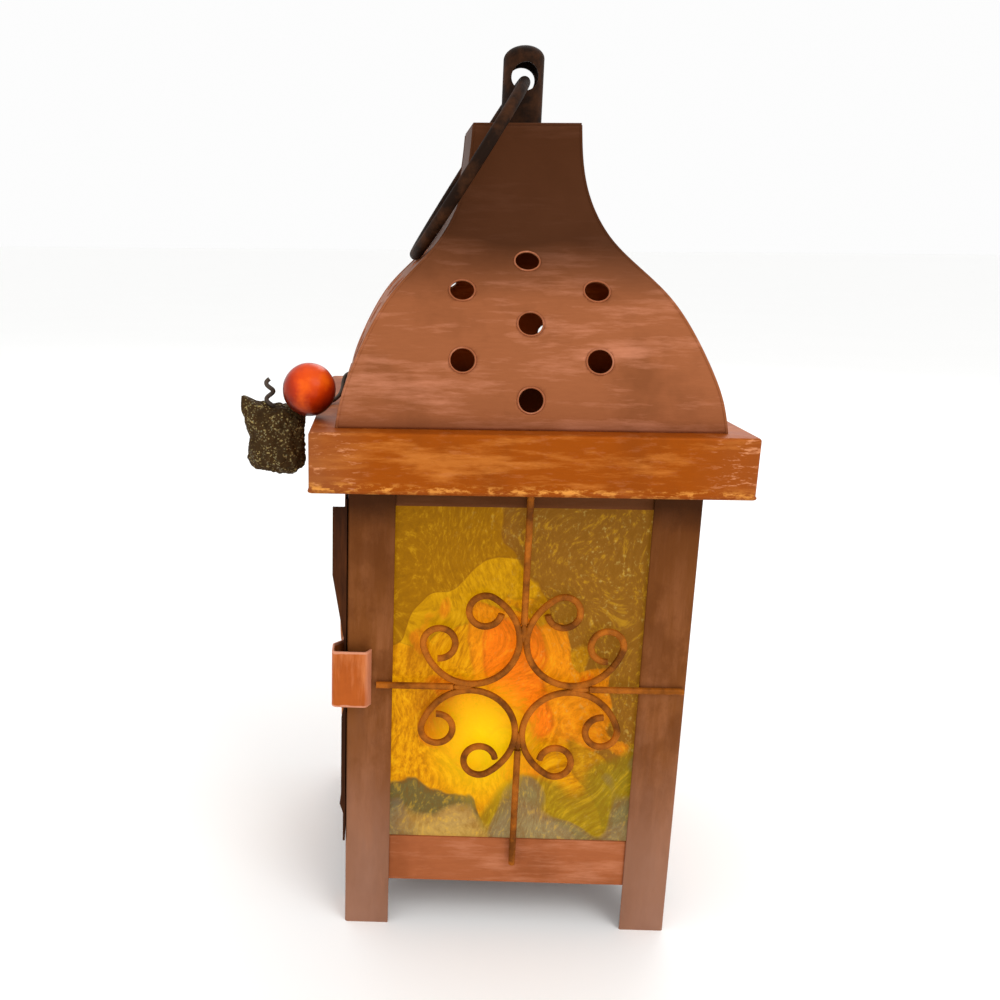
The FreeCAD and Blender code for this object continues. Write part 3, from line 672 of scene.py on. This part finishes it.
# Scrollwork: four C-scrolls of copper wire set back to back on each side, with
# a straight stay in every cleft, tacked with solder where they meet.
SCROLL_WIRE = 2.5 * MM
SCROLL_BACK, SCROLL_SIDE, CURL = 17.2 * MM, 22 * MM, 5.9 * MM
SCROLL_TURNS = ((SCROLL_BACK, 80), (SCROLL_SIDE, 30), (CURL, 292))
OPENING_ANGLE = 51.9
SCROLL_OFFSET = SCROLL_BACK + SCROLL_WIRE / 2
CLEFT = 6.6 * MM
TACK_LONG, TACK_WIDE, TACK_DEEP = 3.9 * MM, 1.25 * MM, 1.15 * MM
scroll_wire_finish = Finish("scroll wire")
wire_blotch = scroll_wire_finish.noise((120, 120, 120), 4.0, 0.6)
wire_fine = scroll_wire_finish.noise((900, 900, 900), 2.0)
wire_colour = scroll_wire_finish.mix(scroll_wire_finish.ramp(wire_blotch, 0.35, 0.65),
                                     srgb(104, 54, 6), srgb(178, 98, 20))
scroll_finish = scroll_wire_finish.surface(
    Base_Color=wire_colour, Metallic=0.15, Roughness=0.5, Specular_IOR_Level=0.1,
    Normal=scroll_wire_finish.bump(wire_blotch * 0.7 + wire_fine * 0.3, 0.0002, 0.5))


def half_scroll():
    """One half of a C-scroll from the middle of its back to the tip of its curl."""
    at, heading, run = Vector((0, -SCROLL_BACK)), 0.0, []
    for radius, degrees in SCROLL_TURNS:
        middle = at + radius * Vector((-math.sin(heading), math.cos(heading)))
        steps = max(8, int(degrees / 7))
        for step in range(1 if run else 0, steps + 1):
            angle = heading + math.radians(degrees) * step / steps
            run.append(middle + radius * Vector((math.sin(angle), -math.cos(angle))))
        at, heading = run[-1], heading + math.radians(degrees)
    return run


def scroll_middle(side, degrees):
    """The middle of one side's scrollwork as it lies before it is turned to its side."""
    low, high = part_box(f"{side}_scrolls")
    return (turned(low, -degrees) + turned(high, -degrees)) / 2


def scroll_runs(side, degrees):
    """The wires of one side in its own plane, then turned to their side."""
    middle = scroll_middle(side, degrees)
    plane = middle.y
    spin = Matrix.Rotation(math.radians(OPENING_ANGLE - 90), 2)
    half = half_scroll()
    whole = [Vector((-point.x, point.y)) for point in reversed(half[1:])] + half
    runs = []
    for right in (-1, 1):
        for up in (-1, 1):
            run = []
            for point in whole:
                spun = spin @ point
                run.append(turned((middle.x + right * (spun.x + SCROLL_OFFSET), plane,
                                   middle.z + up * (spun.y + SCROLL_OFFSET)), degrees))
            runs.append((run, False))
    rod_low, rod_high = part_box(f"{side}_stays")
    ends = [turned(rod_low, -degrees), turned(rod_high, -degrees)]
    left, right = sorted(end.x for end in ends)
    cleft = SCROLL_OFFSET + CLEFT
    straight = [((middle.x, rod_high.z), (middle.x, middle.z + cleft)),
                ((middle.x, rod_low.z), (middle.x, middle.z - cleft)),
                ((left, middle.z), (middle.x - cleft, middle.z)),
                ((right, middle.z), (middle.x + cleft, middle.z))]
    for pair in straight:
        outer, inner = [turned((over, plane, height), degrees) for over, height in pair]
        runs.append(([outer.lerp(inner, step / 10) for step in range(11)], False))
    return runs


def solder_tacks(side, degrees):
    """A long drop of solder in each cleft, where two scrolls and a stay meet."""
    middle = scroll_middle(side, degrees)
    work = bmesh.new()
    for over, up in ((1, 0), (-1, 0), (0, 1), (0, -1)):
        reach = SCROLL_OFFSET + CLEFT / 2
        place = Matrix.Translation(middle + Vector((over, 0, up)) * reach)
        size = (TACK_LONG, TACK_DEEP, TACK_WIDE) if over else (TACK_WIDE, TACK_DEEP, TACK_LONG)
        bmesh.ops.create_icosphere(work, subdivisions=3, radius=1.0,
                                   matrix=Matrix.Rotation(math.radians(degrees), 4, "Z") @ place
                                   @ Matrix.Diagonal((*size, 1)))
    return from_work(f"{side}_solder_tacks", work)


for side, degrees in {"front": 0, "right": 90, "rear": 180, "door": 270}.items():
    body = "door" if side == "door" else "lantern"
    wires(f"{side}_scrollwork", scroll_runs(side, degrees), SCROLL_WIRE / 2, 14, scroll_finish,
          body, "scroll_wire", f"{side}_scrolls", f"{side}_stays")
    dressed(solder_tacks(side, degrees), scroll_finish, body, "scroll_wire")


# Painted glass: panes daubed with lobes of amber, olive and orange lacquer, with
# the candle's light behind them painted on as a glow. The lobes are a pattern of
# no particular things.
def painted_glass(name, across, shift, glow_side):
    """Lobes of lacquer laid over one another, each with ragged edges and brush marks."""
    finish = Finish(name)
    over, height = finish.axis(across) * glow_side, finish.axis("z")
    eddy = finish.node("ShaderNodeTexNoise", None,
                       {"Vector": finish.place, "Scale": 22.0, "Detail": 1.0}, "Color")
    swirl = finish.node("ShaderNodeMix", {"data_type": "VECTOR"},
                        {0: 0.06, 4: finish.place, 5: eddy}, 1)
    daub = finish.node("ShaderNodeMapping", None,
                       {"Vector": swirl, "Scale": (520, 520, 190), "Location": shift})
    brush = finish.node("ShaderNodeTexNoise", None,
                        {"Vector": daub, "Scale": 1.0, "Detail": 6.0, "Roughness": 0.7})
    flecks = finish.noise((520, 520, 420), 4.0, 0.7, shift)
    lobe = finish.noise((34, 34, 26), 1.5, 0.4, shift) - 0.5
    other = finish.noise((46, 46, 34), 1.5, 0.4, (shift[0] + 3, shift[1] + 5, shift[2] + 2)) - 0.5
    ragged = (brush - 0.5) * 0.004

    def away_from(place, level, squash=1.0):
        """Distance from a place on the pane, in metres."""
        aside, above = over - place, height - level
        return (aside * aside + above * above * squash) ** 0.5

    ground = finish.mix(finish.ramp(brush, 0.35, 0.65), srgb(206, 126, 0), srgb(236, 162, 2))
    raised = height - 0.1
    middle, left = away_from(-0.002, 0.102), away_from(-0.034, 0.1)
    # Each lobe lies where its value is above its reach, and has a thin dark edge.
    for value, reach, soft, colour, share in (
            (height + other * 0.14, 0.126, 0.0012, (204, 146, 0), 0.85),
            (height + lobe * 0.16, 0.146, 0.0012, (160, 104, 0), 0.9),
            (over + lobe * 0.07 + raised * 0.25, 0.014, 0.0015, (178, 120, 6), 0.8),
            (over + other * 0.06 + raised * 0.5, 0.026, 0.0015, (140, 90, 26), 0.85),
            (other * 0.08 + lobe * 0.03 - middle, -0.03, 0.0014, (240, 138, 8), 0.9),
            (lobe * 0.07 - middle, -0.022, 0.0014, (248, 112, 10), 0.75),
            (other * 0.05 - left, -0.016, 0.01, (176, 76, 8), 0.55),
            (other * 0.09 - height - over * 0.6, -0.042, 0.0014, (82, 84, 52), 0.9),
            (lobe * 0.05 - height + over * 0.35, -0.056, 0.004, (150, 128, 18), 0.8),
            (other * 0.07 - height, -0.048, 0.006, (214, 168, 92), 0.65),
            (lobe * 0.12 - height + over * 0.3, -0.042, 0.003, (112, 110, 92), 0.6)):
        inside = finish.ramp(value + ragged, reach, reach + soft)
        edge = inside * (1 - finish.ramp(value + ragged, reach + soft, reach + soft * 2.5))
        ground = finish.mix(inside * share, ground, srgb(*colour))
        ground = finish.mix(edge * 0.3, ground, srgb(130, 74, 4))
    upper_right = finish.ramp(over + height * 0.4, 0.03, 0.09)
    ground = finish.mix(finish.ramp(flecks, 0.58, 0.68) * upper_right * 0.6, ground, srgb(206, 170, 84))
    ground = finish.mix(finish.ramp(flecks, 0.44, 0.34) * 0.2, ground, srgb(110, 70, 2))
    ground = finish.mix(finish.ramp(brush, 0.52, 0.38) * 0.35, ground, srgb(134, 84, 0))
    ground = finish.mix(finish.ramp(brush, 0.53, 0.66) * 0.3, ground, srgb(252, 190, 30))
    # Painted light: a yellow pool round the candle's place, and an emitted glow brightest near it.
    away = away_from(-0.011, 0.079, 0.6)
    glow = finish.ramp(away + (brush - 0.5) * 0.016, 0.022, 0.001)
    ground = finish.mix(glow * 0.85, ground, srgb(252, 208, 8))
    dim = finish.mix(finish.ramp(away, 0.01, 0.08), (0.88, 0.88, 0.88, 1), (0.5, 0.5, 0.5, 1))
    light = finish.mix(1.0, ground, dim, "MULTIPLY")
    paint = finish.mix(1.0, ground, (0.42, 0.42, 0.42, 1), "MULTIPLY")
    relief = finish.bump(brush * 0.7 + flecks * 0.3, 0.0004, 0.6)
    # The pane glows by its own emission, a painted backlight.
    return finish.surface(Base_Color=paint, Roughness=0.45, Emission_Color=light,
                          Specular_IOR_Level=0.06, Emission_Strength=0.82, Normal=relief)


for name, (across, shift, glow_side) in {
        "front_glass": ("x", (0, 0, 0), 1), "right_glass": ("y", (5, 3, 1), 1),
        "rear_glass": ("x", (2, 7, 4), -1), "door_glass": ("y", (8, 1, 6), -1)}.items():
    eased(name, painted_glass(f"painted {name}", across, shift, glow_side), 0.15 * MM)

# Door: a flat tin frame with a standing lip along its free edge. It hangs on
# two knuckle hinges and is lacquered nearly black.
door_finish = lacquered_tin("door brown", srgb(52, 24, 6), srgb(96, 50, 20), srgb(32, 14, 4), "z",
                            metal=0.1, rough=0.5)
eased("door_frame", door_finish, 0.15 * MM)
for name in ("hinge_post_leaves", "hinge_door_leaves"):
    eased(name, door_finish, 0.1 * MM)

# Latch strap: a springy copper strip riveted to the door with two steel rivets.
# It is bent square round the front corner, and its free end rests by the post.
STRAP_TIN = 0.8 * MM
STRAP_BEND = 1.7 * MM
STRAP_EDGE = 0.9 * MM
STRAP_EASE = 0.25 * MM
STRAP_LEVELS = 13
RIVET_LAND, ELBOW_DROP = 2.5 * MM, 6.5 * MM
FRONT_SLANT, CURL_START, CURL_RISE = 0.2 * MM, 2.2 * MM, 3.6 * MM
strap_low, strap_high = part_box("latch_strap")
rivets_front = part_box("latch_rivets")[0].y


def bent_path(corners, radius, steps=8):
    """A flat run of straight lines with each inner corner rounded to the radius."""
    run = [corners[0]]
    for before, corner, after in zip(corners, corners[1:], corners[2:]):
        back, ahead = (before - corner).normalized(), (after - corner).normalized()
        half = math.acos(max(-1, min(1, back.dot(ahead)))) / 2
        reach = min(radius / math.tan(half), (before - corner).length / 2, (after - corner).length / 2)
        start, end = corner + back * reach, corner + ahead * reach
        for step in range(steps + 1):
            share = step / steps
            first, second = start.lerp(corner, share), corner.lerp(end, share)
            run.append(first.lerp(second, share))
    return run + [corners[-1]]


def strap_strip():
    half = STRAP_TIN / 2
    left, front = strap_low.x + half, strap_low.y + half
    door_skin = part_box("door_scrolls")[1].x - half
    corners = [Vector((door_skin, strap_high.y)), Vector((door_skin, rivets_front - RIVET_LAND)),
               Vector((left, rivets_front - ELBOW_DROP)), Vector((left, front + FRONT_SLANT)),
               Vector((strap_high.x - CURL_START, front)),
               Vector((strap_high.x - half, strap_low.y + CURL_RISE))]
    run = bent_path(corners, STRAP_BEND)
    outline = []
    for side in (1, -1):
        walk = run if side == 1 else run[::-1]
        for index, point in enumerate(walk):
            ahead = walk[min(index + 1, len(walk) - 1)] - walk[max(index - 1, 0)]
            normal = Vector((ahead.y, -ahead.x)).normalized()
            outline.append(point + normal * half)
    levels = np.linspace(strap_low.z, strap_high.z, STRAP_LEVELS)
    points = [(point.x, point.y, level) for level in levels for point in outline]
    made = outward(lay_mesh("latch_strap_bent", points, capped(len(outline), len(levels))))
    soft_edges(made, STRAP_EASE, 50)
    return baked(sharp_folds(made, 50))


def strap_wear(finish, colour):
    """Rubbed pink along its edges and stained in the middle."""
    middle = (strap_low.z + strap_high.z) / 2
    wobble = finish.noise((220, 220, 220), 4.0, 0.6)
    off = finish.axis("z") - middle
    off = (off * off) ** 0.5
    reach = (strap_high.z - strap_low.z) / 2
    edge = finish.ramp(off + wobble * 0.0012, reach - STRAP_EDGE + 0.0006, reach - 0.0001)
    free = finish.ramp(finish.axis("x") + wobble * 0.0012, strap_high.x - 0.0022, strap_high.x - 0.0008)
    colour = finish.mix(edge * 0.8, colour, srgb(214, 148, 118))
    return finish.mix(free * 0.7, colour, srgb(206, 138, 106))


strap_finish = lacquered_tin("strap copper", srgb(184, 92, 34), srgb(220, 136, 84), srgb(132, 60, 22),
                             "z", rough=0.4, tint=strap_wear, cover=(0.46, 0.58))
dressed(strap_strip(), strap_finish, "door", "strap_copper", "latch_strap")
steel = Finish("dull steel")
scuffs = steel.noise((400, 400, 400), 4.0, 0.6)
steel_finish = steel.surface(Base_Color=steel.mix(scuffs, srgb(92, 78, 66), srgb(140, 122, 106)),
                             Metallic=0.9, Roughness=0.35 + 0.2 * scuffs,
                             Normal=steel.bump(scuffs, 0.0001, 0.6))
for name in ("hinge_pins", "latch_rivets"):
    eased(name, steel_finish, 0.15 * MM)

# Candle: a poured block of cream wax, with a shallow melted pool round its
# braided cotton wick. It stands loose in the cup and lifts out.
WAX_ROUND = 2.2 * MM
POOL_DEEP = 2.4 * MM
POOL_SHARES = ((0.75, 0.8), (0.4, 1), (0, 1))
WICK_RADIUS, WICK_SWAY = 0.8 * MM, 0.2 * MM
WICK_BURNT = (0.074, 0.078)
wax_low, wax_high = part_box("candle_wax")
wax_radius = (wax_high.x - wax_low.x) / 2


def lathe(name, section, steps=72):
    """A closed shape turned round the upright axis from (radius, height) pairs."""
    angles = [math.tau * step / steps for step in range(steps)]
    points = [(radius * math.cos(angle), radius * math.sin(angle), height)
              for radius, height in section for angle in angles]
    return outward(lay_mesh(name, points, skinned(steps, len(section))))


def wax_section():
    """Half of the candle's outline, from the middle of its foot over the rim into the pool."""
    section = [(0, wax_low.z), (wax_radius - WAX_ROUND, wax_low.z)]
    section += arc(wax_radius - WAX_ROUND, wax_low.z + WAX_ROUND, WAX_ROUND, -90, 0, 5)
    section += arc(wax_radius - WAX_ROUND, wax_high.z - WAX_ROUND, WAX_ROUND, 0, 180, 6)
    return section + [(wax_radius * out, wax_high.z - WAX_ROUND - POOL_DEEP * down)
                      for out, down in POOL_SHARES]


wax = Finish("cream wax")
cloud = wax.noise((60, 60, 60), 3.0)
wax_finish = wax.surface(Base_Color=wax.mix(cloud, srgb(238, 224, 190), srgb(226, 200, 150)),
                         Roughness=0.38, Subsurface_Weight=0.25,
                         Subsurface_Radius=(0.008, 0.005, 0.002),
                         Normal=wax.bump(cloud, 0.0006, 0.4))
dressed(lathe("poured_wax", wax_section()), wax_finish, "candle", "wax", "candle_wax")
wick_low, wick_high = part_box("candle_wick")
char = Finish("charred wick")
ash = char.noise((900, 900, 500), 3.0)
burnt = char.ramp(char.axis("z"), *WICK_BURNT)
wick_finish = char.surface(Base_Color=char.mix(burnt, srgb(180, 165, 140), srgb(26, 22, 20)),
                           Roughness=0.9, Normal=char.bump(ash, 0.0003))
wick_run = [Vector((WICK_SWAY * math.sin(step), 0, wick_low.z + (wick_high.z - wick_low.z) * step / 12))
            for step in range(13)]
wires("braided_wick", [(wick_run, False)], WICK_RADIUS, 8, wick_finish, "candle", "wick", "candle_wick")

# Sprig: a lacquered berry, a dry husk rolled in glitter, a curl of fine tendril
# and the brown wire that ties them to the lowest hole in the left of the roof.
BERRY_RIPPLE = 0.12 * MM
# The way the berry's painted light comes from.
LIT_SIDE = Vector((0.2, -0.75, 0.62))
CRUST, GRIT = 1.2 * MM, 0.6 * MM
HUSK_SHARES = [(-1.12, 1.15), (-0.1, 0.85), (0.9, 0.95), (0.85, 0), (0.8, -1.1), (0, -0.85),
               (-0.95, -0.9), (-0.85, 0)]
berry_low, berry_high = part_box("sprig_berry")
berry_middle, berry_radius = (berry_low + berry_high) / 2, (berry_high.x - berry_low.x) / 2


def ball(name, shape, detail=6):
    """A ball of even triangles, each vertex moved to where the shape puts its direction."""
    work = bmesh.new()
    bmesh.ops.create_icosphere(work, subdivisions=detail, radius=1.0)
    for vert in work.verts:
        vert.co = shape(vert.co.normalized())
    return from_work(name, work)


def berry_shape(way):
    ripple = noise.noise(way * 2.4) - 1
    return berry_middle + way * (berry_radius + BERRY_RIPPLE * ripple)


skin = Finish("berry lacquer")
blush = skin.noise((130, 130, 130), 3.0, 0.55)
speck = skin.noise((900, 900, 900), 3.0, 0.6)
# Painted light and shade: orange-red on the side towards the light, dark red-brown away from it.
sunny = (skin.axis("x") * LIT_SIDE.x + skin.axis("y") * LIT_SIDE.y + skin.axis("z") * LIT_SIDE.z
         + (blush - 0.5) * 0.006)
sunny_middle = berry_middle.dot(LIT_SIDE)
lit = skin.ramp(sunny, sunny_middle, sunny_middle + 0.0085)
berry_colour = skin.mix(lit, srgb(76, 12, 2), srgb(208, 56, 4))
berry_colour = skin.mix(skin.ramp(blush, 0.5, 0.7) * lit * 0.5, berry_colour, srgb(248, 112, 14))
# A painted highlight on the lit side.
painted_highlight = skin.ramp(sunny, sunny_middle + 0.006, sunny_middle + 0.0098)
berry_colour = skin.mix(painted_highlight * 0.4, berry_colour, srgb(248, 104, 22))
berry_finish = skin.surface(Base_Color=berry_colour, Roughness=0.3, Coat_Weight=0.06,
                            Coat_Roughness=0.1, Specular_IOR_Level=0.1,
                            Normal=skin.bump(speck * 0.4 + blush, 0.0003, 0.5))
dressed(ball("lacquered_berry", berry_shape, 5), berry_finish, "lantern", "berry", "sprig_berry")

HUSK_SWELL = 1.12
WEAR_STEP, WEAR_FADE = 3.2, 2.8
KNOB_REACH, KNOB_TURN, KNOB_SPREAD = 0.3, 133, 9
CRUST_LUMPS, GRIT_LUMPS = 260, 800
husk_low, husk_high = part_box("sprig_pod")
husk_across, husk_up = zip(*HUSK_SHARES)
husk_wide = (husk_high.x - husk_low.x) / (max(husk_across) - min(husk_across))
husk_long = (husk_high.z - husk_low.z) / (max(husk_up) - min(husk_up))
husk_deep = (husk_high.y - husk_low.y) / 2
husk_middle = Vector((husk_low.x - min(husk_across) * husk_wide, (husk_low.y + husk_high.y) / 2,
                      husk_low.z - min(husk_up) * husk_long))
husk_corners = [Vector((across * husk_wide, up * husk_long)) for across, up in HUSK_SHARES]


def husk_reach(ahead):
    """How far the husk's outline lies from its middle in one direction."""
    for first, last in zip(husk_corners, husk_corners[1:] + husk_corners[:1]):
        side = last - first
        slant = ahead.x * side.y - ahead.y * side.x
        if abs(slant) < 1e-12:
            continue
        reach = (first.x * side.y - first.y * side.x) / slant
        share = (first.x * ahead.y - first.y * ahead.x) / slant
        if reach > 0 and 0 <= share <= 1:
            return reach
    return husk_wide


def rounded_reach(ahead, spread=9):
    """The outline's reach with its corners worn round, as a mean over near directions."""
    turns = [math.radians(turn * WEAR_STEP) for turn in range(-spread, spread + 1)]
    weights = [math.cos(turn * WEAR_FADE) for turn in turns]
    reaches = [husk_reach(Vector((ahead.x * math.cos(turn) - ahead.y * math.sin(turn),
                                  ahead.x * math.sin(turn) + ahead.y * math.cos(turn))))
               for turn in turns]
    return sum(weight * reach for weight, reach in zip(weights, reaches)) / sum(weights)


husk_table = [rounded_reach(Vector((math.cos(math.radians(turn)), math.sin(math.radians(turn)))))
              for turn in range(361)]


def husk_shape(way):
    turn = math.degrees(math.atan2(way.z, way.x)) % 360
    index = int(turn)
    reach = husk_table[index] + (husk_table[index + 1] - husk_table[index]) * (turn - index)
    reach = reach * HUSK_SWELL - CRUST
    ahead = Vector((way.x, way.z)).normalized() if abs(way.y) < 0.9999 else Vector((1, 0))
    flat = max(0, 1 - abs(way.y) ** 2.6) ** 0.5
    knob = math.exp(-((turn - KNOB_TURN) / KNOB_SPREAD) ** 2) * KNOB_REACH * reach * flat
    point = Vector((ahead.x * (reach * flat + knob), way.y * (husk_deep - CRUST),
                    ahead.y * (reach * flat + knob)))
    crust = noise.noise(point * CRUST_LUMPS) * CRUST + noise.noise(point * GRIT_LUMPS) * GRIT
    place = husk_middle + point + way * crust
    return Vector((max(place.x, husk_low.x), place.y, max(place.z, husk_low.z)))


dry = Finish("dry husk")
lump = dry.noise((240, 240, 240), 4.0, 0.65)
grit = dry.node("ShaderNodeTexVoronoi", None, {"Vector": dry.place, "Scale": 1900.0}, "Color")
chance = dry.node("ShaderNodeSeparateColor", None, {0: grit}, 0)
hue = dry.node("ShaderNodeSeparateColor", None, {0: grit}, 1)
glitter = dry.ramp(chance, 0.78, 0.84) * dry.ramp(lump, 0.42, 0.56)
husk_colour = dry.mix(lump, srgb(28, 18, 6), srgb(78, 54, 22))
husk_colour = dry.mix(glitter, husk_colour, dry.mix(hue, srgb(160, 138, 84), srgb(104, 100, 76)))
husk_finish = dry.surface(Base_Color=husk_colour, Roughness=0.8 - 0.45 * glitter,
                          Metallic=glitter * 0.6, Specular_IOR_Level=0.12,
                          Normal=dry.bump(lump, 0.0012, 1.0))
dressed(ball("glittered_husk", husk_shape), husk_finish, "lantern", "pod", "sprig_pod")

TENDRIL_RADIUS = 0.85 * MM
TENDRIL_TALL = 11.5 * MM
TENDRIL_SWAY = 1.3 * MM
TENDRIL_CURLS, TENDRIL_START = 1.9, 0.5
tendril_foot = husk_middle + Vector((-0.2 * husk_wide, -0.2 * husk_deep, 0.8 * husk_long))
tendril = []
for step in range(61):
    share = step / 60
    swing = share * math.tau * TENDRIL_CURLS + TENDRIL_START
    sway = Vector((math.sin(swing), math.cos(swing) * 0.7, 0)) * TENDRIL_SWAY
    tendril.append(tendril_foot + sway + Vector((0, 0, share * TENDRIL_TALL)))
stalk = Finish("brown stalk")
bark = stalk.noise((300, 300, 300), 4.0, 0.6)
stalk_finish = stalk.surface(Base_Color=stalk.mix(bark, srgb(34, 26, 20), srgb(78, 58, 40)),
                             Roughness=0.7, Normal=stalk.bump(bark, 0.0003, 0.8))
wires("dry_tendril", [(tendril, False)], TENDRIL_RADIUS, 10, stalk_finish, "lantern", "stem")
eased("sprig_stem", stalk_finish, 0, 60)

# Stage: a pale floor, an even pale sky, soft boxes on three sides, and the camera
# where the photographer stood. Its shift stands in for part of the photo's crop.
FLOOR_HALF = 40.0
floor = lay_mesh("floor", [turned((FLOOR_HALF, FLOOR_HALF, 0), 90 * quarter) for quarter in range(4)],
                 [range(4)])
pale = Finish("pale floor")
mist = pale.mix(pale.noise((3, 3, 3), 2.0), srgb(252, 252, 251), srgb(254, 254, 253))
floor.data.materials.append(pale.surface(Base_Color=mist, Roughness=0.8))
world = bpy.data.worlds.new("studio")
bpy.context.scene.world = world
world.use_nodes = True
world.node_tree.nodes["Background"].inputs["Color"].default_value = srgb(255, 255, 255)
world.node_tree.nodes["Background"].inputs["Strength"].default_value = 0.98


def soft_box(name, place, aim, size, power):
    light = bpy.data.lights.new(name, "AREA")
    light.shape = "SQUARE"
    light.size = size
    light.energy = power
    made = bpy.data.objects.new(name, light)
    made.location = place
    made.rotation_euler = (Vector(aim) - Vector(place)).to_track_quat("-Z", "Y").to_euler()
    bpy.context.scene.collection.objects.link(made)


soft_box("key", (0.8, -1.2, 1.4), (0, 0, 0.15), 1.0, 10)
soft_box("fill", (-1.2, -0.9, 0.6), (0, 0, 0.15), 1.2, 2)
soft_box("back", (0.4, 1.3, 1.1), (0, 0, 0.2), 1.0, 6)

EYE = Vector((-0.0493, -0.4114, 0.2614))
EYE_YAW, EYE_PITCH, EYE_ROLL = -0.0358, 0.2489, 0.0079
FOCAL_PIXELS = 1013.2
PHOTO_PIXELS = 1000
SHIFT = 0.15
camera_data = bpy.data.cameras.new("photographer")
camera = bpy.data.objects.new("photographer", camera_data)
bpy.context.scene.collection.objects.link(camera)
bpy.context.scene.camera = camera
camera_data.lens = camera_data.sensor_width * FOCAL_PIXELS / PHOTO_PIXELS
camera_data.shift_x = SHIFT
camera_data.clip_start = 0.02
camera.matrix_world = (Matrix.Translation(EYE) @ Matrix.Rotation(-EYE_YAW, 4, "Z")
                       @ Matrix.Rotation(math.pi / 2 - EYE_PITCH, 4, "X")
                       @ Matrix.Rotation(EYE_ROLL, 4, "Z"))
bpy.context.scene.view_settings.view_transform = "Standard"
